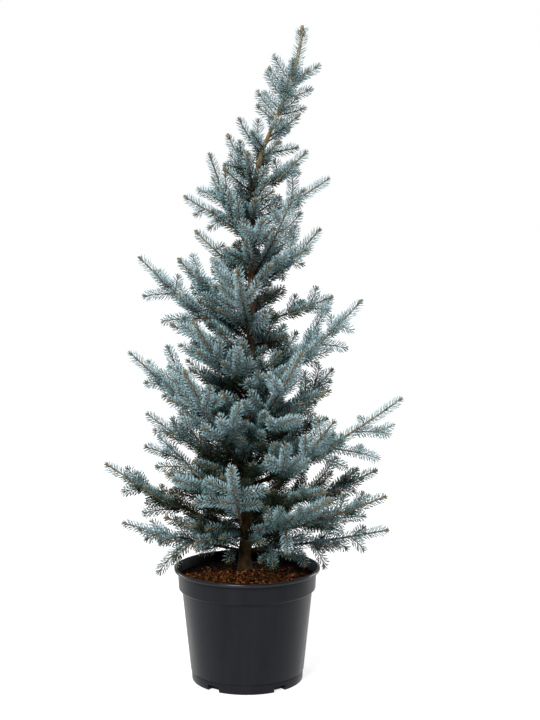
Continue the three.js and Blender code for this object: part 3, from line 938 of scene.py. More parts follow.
shootMiddles = np.array([pointOn(shoot["curve"], 0.6) for shoot in shoots])
shootTips = np.array([shoot["curve"][2] for shoot in shoots])
for shoot, middle, tip in zip(shoots, standsOut(shootMiddles), standsOut(shootTips)):
    shoot["outer"] = max(float(middle), shoot["lit"])
    shoot["tipOuter"] = max(float(tip), shoot["lit"])
totalLength = sum(shoot["length"] for shoot in shoots)
print("grown:", len(shoots), "shoots,", round(totalLength / 1000, 1), "m in all")


# Tubes for stems and twigs

steepest = 0.93  # rise of a unit heading past which a shoot counts as upright


def besides(forward, steep):
    # the sideways and the upper direction, by a reference that depends on whether it is steep
    reference = np.where(steep, [0.0, 1.0, 0.0], [0.0, 0.0, 1.0])
    side = unit(np.cross(forward, np.broadcast_to(reference, forward.shape)))
    return side, np.cross(side, forward)


def spokes(across, depth, sides):
    # directions round a shape with so many sides
    angles = [2 * math.pi * k / sides for k in range(sides)]
    return [across * math.cos(angle) + depth * math.sin(angle) for angle in angles]


def tubes(curves, radii, rings, sides):
    # radii holds the radius of each curve at each ring. Ends are closed by a point.
    curves, shares = np.asarray(curves)[:, None], np.linspace(0, 1, rings)[None]
    points, tangents = pointOn(curves, shares), tangentOn(curves, shares)
    # the reference is the same all along a curve, so that none twists
    steep = np.abs(tangents.mean(axis=1)[:, 2]) > steepest
    side, above = besides(tangents, steep[:, None, None])
    angle = 2 * math.pi * np.arange(sides) / sides
    ringPoints = points[:, :, None] + radii[:, :, None, None] * (
        side[:, :, None] * np.cos(angle)[:, None] + above[:, :, None] * np.sin(angle)[:, None])
    ends = np.stack([points[:, 0], points[:, -1]], axis=1)
    vertices = np.concatenate([ringPoints.reshape(len(curves), -1, 3), ends], axis=1)
    faces = copies(tubeFaces(rings, sides), len(curves), vertices.shape[1])
    return vertices.reshape(-1, 3), faces


def ripple(points, size, seed):
    # smooth waves in space, from -1 to 1, for relief that is real geometry
    rng = np.random.default_rng(seed)
    total = np.zeros(len(points))
    for octave in range(4):
        directions = rng.normal(size=(6, 3))
        phases = rng.uniform(0, 2 * math.pi, 6)
        waves = points @ (directions.T * (2**octave / size)) + phases
        total += np.sin(waves).sum(axis=1) / 6 / 1.6**octave
    return total / 1.6


# Trunk and boughs with the bark's relief

bark = {
    "ring": 5.0,
    "sides": 28,
    "ridge": 0.55,
    "flake": 0.7,
    "collar": 2.4,  # swelling of the trunk round each bough
    "lobes": 5,
    "lobeDepth": 0.13,
    "limbFoot": 0.55,  # a bough's swelling where it leaves the trunk
    "limbFootFade": 0.035,
    "limbTip": 1.75,
    "limbTaper": 0.85,
    "limbRings": 14,
    "limbSides": 8,
    "limbRidge": 0.28,
    "limbFlake": 0.35,
}


def makeTrunk(low, high):
    heights = np.linspace(low, high, round((high - low) / bark["ring"]) + 1)
    angles = 2 * math.pi * np.arange(bark["sides"]) / bark["sides"]
    centre = trunkPoint(heights)
    radius = trunkRadius(heights)
    fade = np.exp(-2 * (heights - trunk["soilTop"]) / trunk["flareHeight"])
    lobe = 1 + bark["lobeDepth"] * np.clip(fade, 0, 1)[:, None] * np.cos(bark["lobes"] * angles)
    out = np.stack([np.cos(angles), np.sin(angles), np.zeros_like(angles)], axis=1)
    grid = centre[:, None] + (radius[:, None] * lobe)[..., None] * out[None]
    flat = grid.reshape(-1, 3)
    rough = (bark["ridge"] * ripple(flat * [1.0, 1.0, 0.35], 5.0, 11)  # ridges run up the trunk
             + bark["flake"] * np.abs(ripple(flat * [1.0, 1.0, 0.8], 3.4, 12)))
    swelling = np.zeros(len(flat))
    for mass in masses[1:]:  # the first is the treetop
        stem = mass["stems"][0]
        heading = unit(stem[1] - stem[0])
        size = mass["radius"] + 3.0
        contact = stem[0] + heading * float(trunkRadius(stem[0, 2])) * 1.1
        away = np.linalg.norm(flat - contact, axis=1)
        swelling = np.maximum(swelling, bark["collar"] * np.exp(-((away / size) ** 2)))
    outward = np.tile(out, (len(heights), 1))
    thin = np.clip(np.repeat(radius, bark["sides"]) / 12.0, 0.35, 1.0)
    flat = flat + outward * ((rough * thin) + swelling)[:, None]
    ends = np.stack([centre[0], centre[-1]])
    return np.concatenate([flat, ends]), tubeFaces(len(heights), bark["sides"])


def makeLimbs(start, end):
    # every bough from one share of its length to another
    radius = np.array([mass["radius"] for mass in masses[1:]])
    rings, sides = bark["limbRings"], bark["limbSides"]
    along = np.linspace(start, end, rings)[None]
    taper = radius[:, None] + (bark["limbTip"] - radius[:, None]) * along ** bark["limbTaper"]
    taper = taper * (1 + bark["limbFoot"] * np.exp(-along / bark["limbFootFade"]))
    pieces = [partOf(mass["stems"][0], start, end) for mass in masses[1:]]
    points, triangles = tubes(pieces, taper, rings, sides)
    axis = np.array([pointOn(piece, np.linspace(0, 1, rings)) for piece in pieces])
    centres = np.concatenate([np.repeat(axis, sides, axis=1), axis[:, [0, -1]]], axis=1)
    outward = unit(points - centres.reshape(-1, 3))
    relief = (bark["limbRidge"] * ripple(points, 4.0, 21)
              + bark["limbFlake"] * np.abs(ripple(points, 2.2, 22)))
    return points + outward * relief[:, None], triangles


# where the old bark gives way to younger, up the trunk and out along the boughs. The old and
# middle bark are darker partly by age and partly as painted shade under the crown
trunkStages = [trunk["soilTop"] - 3.0, 706.0, trunk["swayFrom"], trunk["top"] + 4.0]
limbStages = [0.0, 0.34, 0.62, 1.0]
for stage, finish in enumerate(barkFinishes):
    name = ("barkLowerAndInner", "barkMiddle", "barkUpperAndOuter")[stage]
    shape = joined([makeTrunk(trunkStages[stage], trunkStages[stage + 1]),
                    makeLimbs(limbStages[stage], limbStages[stage + 1])])
    meshPiece(name, shape, finish)
    print(name + ":", len(shape[1]), "triangles")
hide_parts("trunk", *[name for name in nodeNames if name.startswith("bough_")])


# Twigs, joined: woody, young and inner ones, the inner in darker bark as painted shade, and dead
# ones near the trunk

stemSizes = {
    # radius at the foot, what it gains for each millimetre of length, and radius at the tip
    "woody": {"base": 1.25, "gain": 0.0095, "tip": 1.0},
    "young": {"base": 0.95, "gain": 0.0080, "tip": 0.85},
}


def makeTwigs(chosen, sizes, rings, sides):
    curves = np.array([shoot["curve"] for shoot in chosen])
    length = np.array([shoot["length"] for shoot in chosen])
    base = sizes["base"] + sizes["gain"] * length
    at = np.linspace(0, 1, rings)
    radii = base[:, None] + (sizes["tip"] - base[:, None]) * at[None]
    return tubes(curves, radii, rings, sides)


# painted shade: inner twigs take the darker middle bark because they stand in the crown's shade
innerLimit = 0.5  # twigs that stand out less than this have darker bark and few buds
woody = [s for s in shoots if s["level"] == 1 and s["outer"] >= innerLimit]
young = [s for s in shoots if s["level"] >= 2 and s["outer"] >= innerLimit]
inner = [s for s in shoots if s["level"] >= 1 and s["outer"] < innerLimit]
treetopStems = [shoot for shoot in shoots if shoot["owner"] == 0 and shoot["level"] == 0]
leaderRings = 40
leaderRadii = np.linspace(trunk["tip"] + 0.9, 3.5, leaderRings)[None]
youngShape = joined([
    makeTwigs(young, stemSizes["young"], 5, 5),
    makeTwigs(treetopStems[1:], stemSizes["woody"], 10, 7),
    tubes([treetopStems[0]["curve"]], leaderRadii, leaderRings, 12),
])
meshPiece("woodyTwigs", makeTwigs(woody, stemSizes["woody"], 9, 6), barkFinishes[2])
meshPiece("youngTwigs", youngShape, shootFinish)
meshPiece("innerTwigsShaded", makeTwigs(inner, stemSizes["woody"], 7, 5), barkFinishes[1])
print("twigs:", len(woody), "woody,", len(young), "young,", len(inner), "inner")

deadTwigs = {
    "onTrunk": 90,
    "onBoughs": 170,
    "heights": (268, 1020),
    "shortest": 28.0,
    "longest": 95.0,
    "boughShare": 0.7,  # so much shorter on a bough
    "radius": 1.0,
    "thickness": (0.7, 1.5),
    "taper": [[1, 0.8, 0.6, 0.4]],
    "overPot": 2,
    "insidePot": 12,
}


def makeDeadTwigs():
    rng = np.random.default_rng(17)
    curves = []
    for _ in range(deadTwigs["onTrunk"]):
        height = rng.uniform(*deadTwigs["heights"])
        turn, reach = rng.uniform(0, 360), rng.uniform(deadTwigs["shortest"], deadTwigs["longest"])
        curves.append(stemCurve(height, turn, reach, reach * rng.uniform(-0.2, 0.55)))
    limbs = [mass["stems"][0] for mass in masses[1:]]
    for _ in range(deadTwigs["onBoughs"]):
        limb = limbs[rng.integers(len(limbs))]
        reach = rng.uniform(deadTwigs["shortest"], deadTwigs["longest"] * deadTwigs["boughShare"])
        curves.append(twigCurve(limb, rng.uniform(0.06, 0.42), rng.choice([-1, 1]), reach,
                                rng.uniform(40, 85), lift=rng.uniform(-0.25, 0.2),
                                roll=rng.uniform(-1.2, 1.2)))
    curves = [curve for curve in curves
              if curve[:, 2].min() > pot["height"] + deadTwigs["overPot"]
              or np.hypot(*curve[:, :2].T).max() < pot["bodyTop"] - deadTwigs["insidePot"]]
    curves = [kept for kept in map(untilOpening, curves) if kept is not None]
    thickness = rng.uniform(*deadTwigs["thickness"], (len(curves), 1))
    return tubes(curves, deadTwigs["radius"] * thickness * deadTwigs["taper"], 4, 5)


meshPiece("deadTwigs", makeDeadTwigs(), deadFinish)


# Needles

needle = {
    "length": 20.0,
    "lengthVaries": (0.86, 1.08),
    "width": 2.2,
    "widthVaries": (0.88, 1.12),
    "density": 1.42,  # needles for each millimetre of shoot
    "fewest": 10,
    "most": 136000,  # in all
    "mostInPiece": 32000,  # keeps each piece under 200,000 triangles
    "turn": math.radians(137.508),
    "turnVaries": 0.1,
    "shootTurn": 1.7,
    "spread": 59.0,
    "spreadVaries": 3.0,
    "tipSpread": 20.0,
    "curl": 0.16,
    "rise": 0.06,
    "bend": 0.70,  # share of the length where a needle is widest and turns
    # within this distance of a tip they close round the bud and get shorter
    "closeWithin": 13.0,
    "closeRate": 1.4,
    "closeShorter": 0.42,
    "twigLength": 0.90,
    "uprightLength": 1.12,
    "lengthHeights": [1000, 1200],
    "lengths": [1.0, 0.93],
    "innerStretch": 0.2,  # the first part of a bough is half bare
    "innerKept": 0.35,
    "leaderKept": 0.82,
}
# painted light and shade in the needle tints: what moves a needle to a paler or darker tint
needleLight = {
    "gain": 1.05,
    "shootVaries": 0.10,
    "needleVaries": 0.10,
    "above": 0.20,
    "along": 0.08,
    "tipShade": 0.34,  # duller round the big end buds
    "steps": [-1.04, -0.78, -0.56, -0.38],  # from one tint to the next darker one
    "strawTint": 5,
    "strawWithin": 4.5,
    "strawShare": 0.5,
}


def layNeedles():
    rng = np.random.default_rng(5)
    chosen = [s for s in shoots if s["length"] > 8]
    clothed = sum(max(s["length"] - s["bare"], 4) for s in chosen)
    density = min(needle["density"], needle["most"] / clothed)
    print("needle density:", round(density, 3), "per mm over", round(clothed / 1000, 1), "m")
    counts = np.array([max(needle["fewest"], int((s["length"] - s["bare"]) * density))
                       for s in chosen])
    which = np.repeat(np.arange(len(chosen)), counts)
    order = np.concatenate([np.arange(c) for c in counts])
    amount = len(order)
    curves, length, bare, level, lit = (np.array([s[key] for s in chosen])[which]
                                        for key in ("curve", "length", "bare", "level", "lit"))
    start = bare / length
    share = (order + rng.uniform(0.2, 0.8, amount)) / counts[which]
    at = start + (1 - start) * share
    base, forward = pointOn(curves, at), tangentOn(curves, at)
    steep = np.abs(unit(curves[:, 2] - curves[:, 0])[:, 2]) > steepest
    side, above = besides(forward, steep[:, None])
    varies = needle["turnVaries"]
    angle = order * needle["turn"] + rng.uniform(-varies, varies, amount)
    angle = angle + which * needle["shootTurn"]
    outward = side * np.cos(angle)[:, None] + above * np.sin(angle)[:, None]

    # towards a tip the needles close round the bud
    toTip = (1 - at) * length
    closing = np.clip(1 - toTip / needle["closeWithin"], 0, 1) ** needle["closeRate"]
    spread = np.radians(needle["spread"] + rng.normal(0, needle["spreadVaries"], amount))
    spread = spread * (1 - closing) + math.radians(needle["tipSpread"]) * closing
    rise = upward * needle["rise"] * (~steep)[:, None]
    heading = unit(forward * np.cos(spread)[:, None] + outward * np.sin(spread)[:, None] + rise)
    ending = unit(heading + forward * needle["curl"] + rise)
    size = needle["length"] * rng.uniform(*needle["lengthVaries"], amount)
    size = size * (1 - needle["closeShorter"] * closing)
    size *= (np.where(level >= 3, needle["twigLength"], 1.0)
             * np.where(steep, needle["uprightLength"], 1.0))
    size *= np.interp(base[:, 2], needle["lengthHeights"], needle["lengths"])

    # painted light and shade: inner, lower and shaded needles, and those that face down, take the
    # darker tints; outer ones and those that face up take the paler
    light = needleLight
    outer = np.maximum(standsOut(base), lit)
    varies = light["shootVaries"]
    perShoot = rng.uniform(-varies, varies, len(chosen))[which]
    paintedLight = light["gain"] * outer + perShoot + rng.normal(0, light["needleVaries"], amount)
    paintedLight += light["above"] * outward[:, 2] + light["along"] * (at - 0.5)
    paintedLight += np.interp(base[:, 2], crown["lightHeights"], crown["light"])
    paintedLight -= light["tipShade"] * closing * (level <= 1)
    tint = np.digitize(-paintedLight, light["steps"])
    dry = (toTip < light["strawWithin"]) & (rng.uniform(0, 1, amount) < light["strawShare"])
    tint = np.where(dry, light["strawTint"], tint)

    # the inner stretch of a bough is half bare, the leader is more thinly clothed than the rest,
    # and nothing reaches into soil, rim or trunk
    keep = (level > 0) | (share > needle["innerStretch"])
    keep |= rng.uniform(0, 1, amount) < needle["innerKept"]
    keep &= (which != 0) | (rng.uniform(0, 1, amount) < needle["leaderKept"])
    tip = base + heading * (size * needle["bend"])[:, None] \
        + ending * (size * (1 - needle["bend"]))[:, None]
    reach, height = np.hypot(tip[:, 0], tip[:, 1]), tip[:, 2]
    overSoil = ((reach < pot["collarBottom"] - clearance["potSide"])
                & (height > trunk["soilTop"] + clearance["needleTip"]))
    keep &= ((height > pot["height"] + clearance["needleTip"]) | overSoil
             | (reach > pot["rim"] + clearance["potTop"]))
    keep &= height < wholeHeight
    gap = fromAxis(tip) - trunkRadius(height)
    keep &= (gap > clearance["needleTrunk"]) | (height > trunk["top"])
    return base[keep], heading[keep], ending[keep], size[keep], tint[keep], rng


def needleMesh(base, heading, ending, size, rng):
    # a slim three-sided leaf: a pointed foot, widest at the bend, drawn to a sharp tip
    count = len(base)
    across = unit(np.cross(heading, unit(rng.normal(size=(count, 3)))))
    depth = np.cross(heading, across)
    half = needle["width"] / 2 * rng.uniform(*needle["widthVaries"], count)
    bend = base + heading * (size * needle["bend"])[:, None]
    ring = [bend + offset * half[:, None] for offset in spokes(across, depth, 3)]
    tip = bend + ending * (size * (1 - needle["bend"]))[:, None]
    points = np.stack([base, *ring, tip], axis=1).reshape(-1, 3)
    faces = np.array([[0, 2, 1], [0, 3, 2], [0, 1, 3], [1, 2, 4], [2, 3, 4], [3, 1, 4]])
    return points, copies(faces, count, 5)


needleBase, needleHeading, needleEnding, needleSize, needleTint, needleRandom = layNeedles()
foliageNodes = [name for name in nodeNames if name.startswith("foliage_") or name == "treetop"]
firstNeedles = None
for tintIndex, tintName in enumerate(needleTints):
    chosen = np.flatnonzero(needleTint == tintIndex)
    pieces = max(1, math.ceil(len(chosen) / needle["mostInPiece"]))
    for number in range(pieces):
        some = chosen[number::pieces]
        shape = needleMesh(needleBase[some], needleHeading[some], needleEnding[some],
                           needleSize[some], needleRandom)
        suffix = "" if pieces == 1 else "ABCDEFG"[number]
        piece = meshPiece("needles" + tintName + suffix, shape, needleFinishes[tintIndex])
        firstNeedles = firstNeedles or piece
    print("needles", tintName + ":", len(chosen))
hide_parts(*foliageNodes)


# Buds at the ends of the shoots

bud = {
    "length": 7.6,
    "radius": 2.7,
    "sides": 6,
    "leader": (24.0, 6.2, 4),  # length, radius, and how many smaller ones stand round it
    "leaderShoot": (8.5, 2.9, 2),
    "scale": (1.55, 1.25, 0.75, 0.75),  # by the shoot's level
    "scaleVaries": (0.7, 1.15),
    "without": 0.25,  # share of the twigs whose bud stays hidden
    "innerWithout": 0.9,
    "sunk": 3.0,
    "besideSunk": 4.5,
    "besideScale": 0.75,
    "besideLength": 0.7,
    "besideLean": 0.85,
    "outline": [(0.0, 0.55), (0.3, 1.0), (0.65, 0.78), (0.9, 0.3)],  # share along, thickness
}


def makeBuds():
    rng = np.random.default_rng(9)
    tips, headings, sizes = [], [], []

    def addBud(tip, heading, length, radius):
        tips.append(tip)
        headings.append(heading)
        sizes.append((length, radius))

    for shoot in shoots:
        level = shoot["level"]
        if level == 0 and shoot["owner"] == 0:
            continue
        tip, heading = shoot["curve"][2], tangentOn(shoot["curve"], 1.0)
        scale = rng.uniform(*bud["scaleVaries"]) * bud["scale"][min(level, 3)]
        without = bud["without"] if level > 0 else 0.0
        if rng.uniform() < (without if shoot["tipOuter"] >= innerLimit else bud["innerWithout"]):
            continue
        length, radius = bud["length"] * scale, bud["radius"] * scale
        addBud(tip - heading * bud["sunk"], heading, length, radius)
        if level > 0:
            continue
        across = unit(np.cross(heading, upward))
        for turn in (-1, 1):  # a smaller bud on either side
            addBud(tip - heading * bud["besideSunk"],
                   unit(heading + across * turn * rng.uniform(0.6, 1.0)),
                   length * bud["besideScale"], radius * bud["besideScale"])
    for k, shoot in enumerate(treetopStems):
        tip, heading = shoot["curve"][2], tangentOn(shoot["curve"], 1.0)
        length, radius, beside = bud["leader" if k == 0 else "leaderShoot"]
        addBud(tip - heading * (length - 0.5), heading, length, radius)
        for turn in range(beside):
            angle = 2 * math.pi * turn / beside + 0.5
            out = np.array([math.cos(angle), math.sin(angle), 0])
            addBud(tip - heading * length, unit(heading + bud["besideLean"] * out),
                   length * bud["besideLength"], radius * bud["besideScale"])
    tips, headings, sizes = np.array(tips), np.array(headings), np.array(sizes)
    across = unit(np.cross(headings, [0.31, 0.47, 0.83]))
    directions = spokes(across, np.cross(headings, across), bud["sides"])
    points = []
    for along, thick in bud["outline"]:
        middle = tips + headings * (sizes[:, :1] * along)
        points += [middle + offset * sizes[:, 1:] * thick for offset in directions]
    points = np.stack([*points, tips, tips + headings * sizes[:, :1]], axis=1)
    faces = copies(tubeFaces(len(bud["outline"]), bud["sides"]), len(tips), points.shape[1])
    return points.reshape(-1, 3), faces


budShape = makeBuds()
meshPiece("buds", budShape, budFinish)
print("buds:", len(budShape[1]), "triangles")


# Soil

compost = {
    "edge": 21.0,
    "crown": 11.0,
    "mound": 8.0,  # heap round the foot of the trunk
    "moundWidth": 46.0,
    "radius": 156.0,
    "rings": 70,
    "spokes": 220,
    "lumps": 2.2,
    "underCrumbs": 1.5,
    "bottom": 190.0,
    "bottomWidth": 0.93,
    "crumbs": 4600,
    "crumbInset": 3.0,
    "sizeFall": 2.4,  # small crumbs are far more common than big ones
    "crumbBumps": (0.72, 1.2),
    "crumbTilt": 0.35,
    "crumbRest": (-1.2, 1.6),  # how deep or high they lie
    "crumbLimit": 0.5,
}


def soilHeight(across):
    low = pot["height"] - compost["edge"]
    high = pot["height"] - compost["crown"]
    share = np.clip(across / compost["radius"], 0, 1)
    mound = compost["mound"] * np.exp(-((across / compost["moundWidth"]) ** 2))
    return low + (high - low) * np.cos(share * math.pi / 2) ** 0.9 + mound


def makeSoil():
    radii = compost["radius"] * np.linspace(0, 1, compost["rings"])[1:] ** 0.9
    angles = 2 * math.pi * np.arange(compost["spokes"]) / compost["spokes"]
    across, around = np.meshgrid(radii, angles, indexing="ij")
    flat = np.stack([across * np.cos(around), across * np.sin(around), np.zeros_like(across)], -1)
    flat = flat.reshape(-1, 3)
    lump = compost["lumps"] * (0.7 * ripple(flat, 12.0, 31) + 0.6 * ripple(flat, 5.0, 32))
    flat[:, 2] = soilHeight(across.ravel()) - compost["underCrumbs"] + lump
    skirt = flat[-compost["spokes"]:].copy()
    skirt[:, 2] = compost["bottom"]
    skirt[:, :2] *= compost["bottomWidth"]
    ends = [[0.0, 0.0, float(soilHeight(0.0))], [0.0, 0.0, compost["bottom"]]]
    faces = tubeFaces(compost["rings"], compost["spokes"])
    return np.concatenate([flat, skirt, ends]), faces[:, ::-1]  # from the middle out and down


def icoPoints():
    ball = bmesh.new()
    bmesh.ops.create_icosphere(ball, subdivisions=1, radius=1.0)
    bmesh.ops.triangulate(ball, faces=ball.faces)
    ball.verts.ensure_lookup_table()
    points = np.array([v.co for v in ball.verts])
    faces = np.array([[v.index for v in f.verts] for f in ball.faces])
    ball.free()
    return points, faces


def makeCrumbs(count, seed, longest, flatness, sizeRange, lit):
    rng = np.random.default_rng(seed)
    shape, faces = icoPoints()
    across = (compost["radius"] - compost["crumbInset"]) * np.sqrt(rng.uniform(0.02, 1, count))
    around = rng.uniform(0, 2 * math.pi, count)
    small, big = sizeRange
    size = small + (big - small) * rng.uniform(0, 1, count) ** compost["sizeFall"]
    stretch = np.stack([rng.uniform(0.9, longest, count), rng.uniform(0.6, 1.0, count),
                        rng.uniform(flatness, flatness + 0.35, count)], axis=1)
    bumps = rng.uniform(*compost["crumbBumps"], (count, len(shape), 1))
    points = shape[None] * bumps * stretch[:, None] * (size / 2)[:, None, None]
    turn, tilt = rng.uniform(0, 2 * math.pi, count), rng.normal(0, compost["crumbTilt"], count)
    c, s = np.cos(tilt)[:, None], np.sin(tilt)[:, None]
    x, y, z = points[..., 0], points[..., 1], points[..., 2]
    x, z = x * c - z * s, x * s + z * c
    c, s = np.cos(turn)[:, None], np.sin(turn)[:, None]
    x, y = x * c - y * s, x * s + y * c
    points = np.stack([x, y, z], axis=-1)
    # painted shade: keeping the paler crumbs towards the front leaves the back and the trunk's
    # foot darker
    if lit:  # the paler kinds lie towards the front, away from the trunk's shade
        openness = -np.sin(around) * across / compost["radius"]
        kept = rng.uniform(0, 1, count) < np.clip(0.5 + 0.9 * openness, 0.08, 1)
        around = np.where(kept, around, -np.abs((around + math.pi) % (2 * math.pi) - math.pi))
    place = np.stack([across * np.cos(around), across * np.sin(around),
                      soilHeight(across) + rng.uniform(*compost["crumbRest"], count)], axis=-1)
    points = points + place[:, None]
    reach = np.maximum(np.hypot(points[..., 0], points[..., 1]), 1e-6)
    limit = compost["radius"] + compost["crumbLimit"]
    points[..., :2] *= np.minimum(1.0, limit / reach)[..., None]
    return points.reshape(-1, 3), copies(faces, count, len(shape))


soilPiece = meshPiece("soilBed", makeSoil(), soilFinish)
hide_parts("soil")
crumbKinds = [
    # name, share of all, seed, greatest length and least thickness over the size, and sizes
    ("crumbsPeat", 0.48, 41, 1.3, 0.55, (1.6, 5.5)),
    ("crumbsBark", 0.37, 42, 1.8, 0.35, (2.0, 8.0)),
    ("crumbsFibre", 0.15, 43, 3.2, 0.22, (1.3, 5.5)),
]
for finish, (name, share, seed, longest, flatness, sizeRange) in zip(crumbFinishes, crumbKinds):
    shape = makeCrumbs(int(compost["crumbs"] * share), seed, longest, flatness, sizeRange,
                       lit=name != "crumbsPeat")
    meshPiece(name, shape, finish, smooth=False)
print("soil made")


# Pot

def potProfile():
    # radius and height pairs, from the middle of the underside out, up, over the rim and in
    p = pot
    shoulder = p["height"] - p["collarHeight"]
    return [
        (0, 0), (p["foot"] - 3.2, 0), (p["foot"] - 1.6, 0.3), (p["foot"] - 0.5, 1.1),
        (p["foot"], 2.4), (p["foot"] + 0.8, p["footHeight"] - 1.4),
        (p["foot"] + 0.6, p["footHeight"] - 0.7), (p["foot"] + 0.1, p["footHeight"] - 0.3),
        (p["foot"] + 0.1, p["footHeight"] + 0.5), (p["bodyBottom"] - 0.4, p["footHeight"] + 1.0),
        (p["bodyBottom"] + 0.1, p["footHeight"] + 2.0),
        (p["bodyTop"], shoulder - 7.0), (p["bodyTop"] + 0.9, shoulder - 4.8),
        (p["collarBottom"] - 1.3, shoulder - 0.9), (p["collarBottom"] - 0.2, shoulder + 0.4),
        (p["collarBottom"], shoulder + 2.0), (p["collarTop"], p["height"] - 8.2),
        (p["collarTop"] + 0.8, p["height"] - 7.3), (p["rim"] - 1.8, p["height"] - 6.8),
        (p["rim"] - 0.5, p["height"] - 6.0), (p["rim"], p["height"] - 4.4),
        (p["rim"] - 0.1, p["height"] - 2.4), (p["rim"] - 0.9, p["height"] - 0.8),
        (p["rim"] - 2.6, p["height"]), (p["rim"] - 6.6, p["height"]),
        (p["rim"] - 8.3, p["height"] - 0.7), (p["rim"] - 9.4, p["height"] - 2.4),
        (p["collarTop"] - p["wall"], p["height"] - 7.0),
        (p["collarBottom"] - p["wall"], shoulder + 2.5), (p["bodyTop"] - 1.8, shoulder - 5.0),
        (p["bodyBottom"] + 1.0, 40.0), (p["foot"] - 2.0, p["floor"]), (0, p["floor"]),
    ]


def revolve(profile, steps):
    body = bmesh.new()
    rings = []
    for radius, height in profile:
        angles = [2 * math.pi * k / steps for k in range(steps if radius else 1)]
        rings.append([body.verts.new((radius * millimetre * math.cos(angle),
                                      radius * millimetre * math.sin(angle),
                                      height * millimetre)) for angle in angles])
    for low, high in zip(rings, rings[1:]):
        for k in range(steps):
            n = (k + 1) % steps
            if len(low) == 1:
                body.faces.new((low[0], high[n], high[k]))
            elif len(high) == 1:
                body.faces.new((low[k], low[n], high[0]))
            else:
                body.faces.new((low[k], low[n], high[n], high[k]))
    bmesh.ops.recalc_face_normals(body, faces=body.faces)
    return body


def cutterFor(width, height, depth, angle, rounding):
    # a block that stands half below the floor, with its upper edges rounded
    cutter = bmesh.new()
    bmesh.ops.create_cube(cutter, size=1.0)
    outer = pot["foot"] + 6.0
    inner = pot["foot"] - depth
    for vertex in cutter.verts:
        x = (inner + outer) / 2 + vertex.co.x * (outer - inner)
        y = vertex.co.y * width
        vertex.co.x = (x * math.cos(angle) - y * math.sin(angle)) * millimetre
        vertex.co.y = (x * math.sin(angle) + y * math.cos(angle)) * millimetre
        vertex.co.z = vertex.co.z * 2 * height * millimetre
    top = [e for e in cutter.edges if all(v.co.z > 0 for v in e.verts)]
    bmesh.ops.bevel(cutter, geom=top, offset=rounding * millimetre, segments=4, affect="EDGES",
                    profile=0.5)
    return cutter


def makePot():
    body = revolve(potProfile(), pot["steps"])
    mesh = bpy.data.meshes.new("nurseryPot")
    body.to_mesh(mesh)
    body.free()
    whole = addObject("nurseryPot", mesh)
    cutters = bmesh.new()
    shapes = [(pot["notchWidth"], pot["notchHeight"], pot["notchDepth"],
               math.radians(pot["firstNotch"] + 360 / pot["notches"] * k), pot["notchRounding"])
              for k in range(pot["notches"])]
    cutterMesh = bpy.data.meshes.new("potCuts")
    for shape in [*shapes, pot["nick"]]:
        one = cutterFor(*shape)
        spare = bpy.data.meshes.new("spare")
        one.to_mesh(spare)
        one.free()
        cutters.from_mesh(spare)
        bpy.data.meshes.remove(spare)
    cutters.to_mesh(cutterMesh)
    cutters.free()
    cutter = addObject("potCuts", cutterMesh)
    cut = whole.modifiers.new("notches", "BOOLEAN")
    cut.operation = "DIFFERENCE"
    cut.solver = "EXACT"
    cut.object = cutter
    ready = whole.evaluated_get(bpy.context.evaluated_depsgraph_get())
    finished = bpy.data.meshes.new_from_object(ready)
    whole.modifiers.clear()
    whole.data = finished
    finished.name = "nurseryPot"
    bpy.data.objects.remove(cutter)
    bpy.data.meshes.remove(cutterMesh)
    bpy.data.meshes.remove(mesh)
    finished.polygons.foreach_set("use_smooth", np.full(len(finished.polygons), True))
    finished.set_sharp_from_angle(angle=math.radians(pot["sharp"]))
    finished.materials.clear()
    for finish in (potFinish, shadedLiningFinish, rimFinish):
        finished.materials.append(finish)
    rollFoot = (pot["height"] - pot["roll"]) * millimetre
    shadeFoot = pot["shadeFoot"] * millimetre
    # inward faces above that height get the painted shade, and the rolled rim gets the shinier
    # finish
    for face in finished.polygons:
        x, y, z = face.center
        facesIn = x * face.normal.x + y * face.normal.y < 0
        if facesIn and z > shadeFoot:
            face.material_index = 1
        elif z > rollFoot:
            face.material_index = 2
    return whole


potPiece = makePot()
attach(potPiece, "root")
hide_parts("pot")
print("pot made:", len(potPiece.data.polygons), "faces")


# Stage, light and camera

studio = {
    "floorSize": 160.0,
    "worldLight": 0.34,
    "sunStrength": 4.3,
    "sunSpread": 14.0,  # degrees across, so its shadows are soft
    "sunTurn": 22.0,  # to the left of straight behind the viewer
    "sunHeight": 41.0,
    "sidePower": 60.0,
    "sideSize": 1.2,
    "sidePlace": (2.3, 1.7, 1.0),
    "sideAim": (0, 0, 0.7),
    "lens": 65.6,
    "sensor": 36.0,
    "lookDown": 5.29,
}


def makeStage():
    mesh = bpy.data.meshes.new("studioFloor")
    half = studio["floorSize"] / 2
    mesh.from_pydata([(-half, -half, 0), (half, -half, 0), (half, half, 0), (-half, half, 0)], [],
                     [(0, 1, 2, 3)])
    mesh.materials.append(floorFinish)
    floor = addObject("studioFloor", mesh)


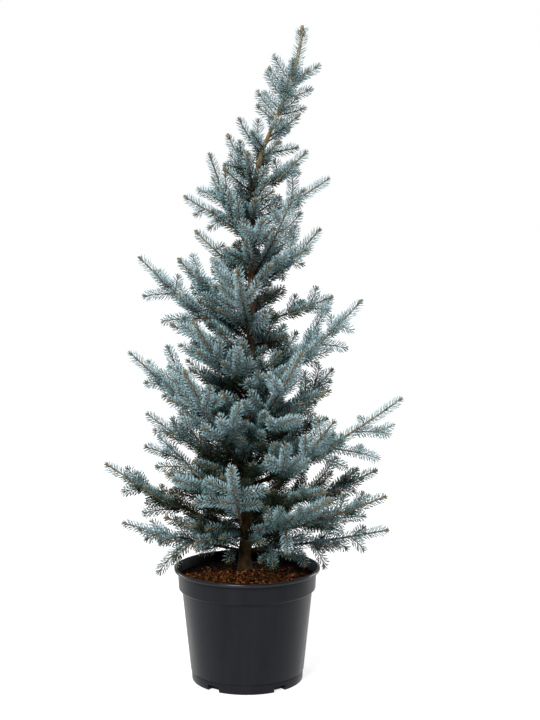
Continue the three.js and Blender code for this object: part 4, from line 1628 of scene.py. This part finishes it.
def sideLight(name, side):
    # a soft lamp behind the tree, to one side
    lamp = bpy.data.lights.new(name, "AREA")
    lamp.shape = "DISK"
    lamp.size = studio["sideSize"]
    lamp.energy = studio["sidePower"]
    holder = addObject(name, lamp)
    x, y, z = studio["sidePlace"]
    holder.location = (side * x, y, z)
    direction = np.array(studio["sideAim"]) - np.array([side * x, y, z])
    yaw = math.atan2(direction[1], direction[0]) - math.pi / 2
    pitch = math.atan2(math.hypot(direction[0], direction[1]), -direction[2])
    holder.rotation_euler = (pitch, 0, yaw)


def sunLight():
    lamp = bpy.data.lights.new("key", "SUN")
    lamp.energy = studio["sunStrength"]
    lamp.angle = math.radians(studio["sunSpread"])
    holder = addObject("key", lamp)
    holder.rotation_euler = (math.radians(90 - studio["sunHeight"]), 0,
                             -math.radians(studio["sunTurn"]))


def lightWorld():
    world = bpy.data.worlds.new("paleStudio")
    world.use_nodes = True
    tree, links = world.node_tree, world.node_tree.links
    tree.nodes.clear()
    seen = newNode(tree, "ShaderNodeBackground", {"Color": (1, 1, 1, 1), "Strength": 1.0})
    lit = newNode(tree, "ShaderNodeBackground",
                  {"Color": (0.96, 0.98, 1.0, 1), "Strength": studio["worldLight"]})
    ray = newNode(tree, "ShaderNodeLightPath")
    mixed = newNode(tree, "ShaderNodeMixShader")
    output = newNode(tree, "ShaderNodeOutputWorld")
    links.new(ray.outputs["Is Camera Ray"], mixed.inputs[0])
    links.new(lit.outputs[0], mixed.inputs[1])
    links.new(seen.outputs[0], mixed.inputs[2])
    links.new(mixed.outputs[0], output.inputs["Surface"])
    bpy.context.scene.world = world


makeStage()
lightWorld()
sunLight()
sideLight("leftRear", -1)
sideLight("rightRear", 1)
bpy.context.scene.view_settings.view_transform = "Standard"

view = bpy.data.cameras.new("camera")
view.lens = studio["lens"]
view.sensor_width = studio["sensor"]
viewer = addObject("camera", view)
viewer.location = [openView[axis] * millimetre for axis in "xyz"]
viewer.rotation_euler = (math.radians(90 - studio["lookDown"]), 0, 0)
bpy.context.scene.camera = viewer
print("stage, lights and camera set")
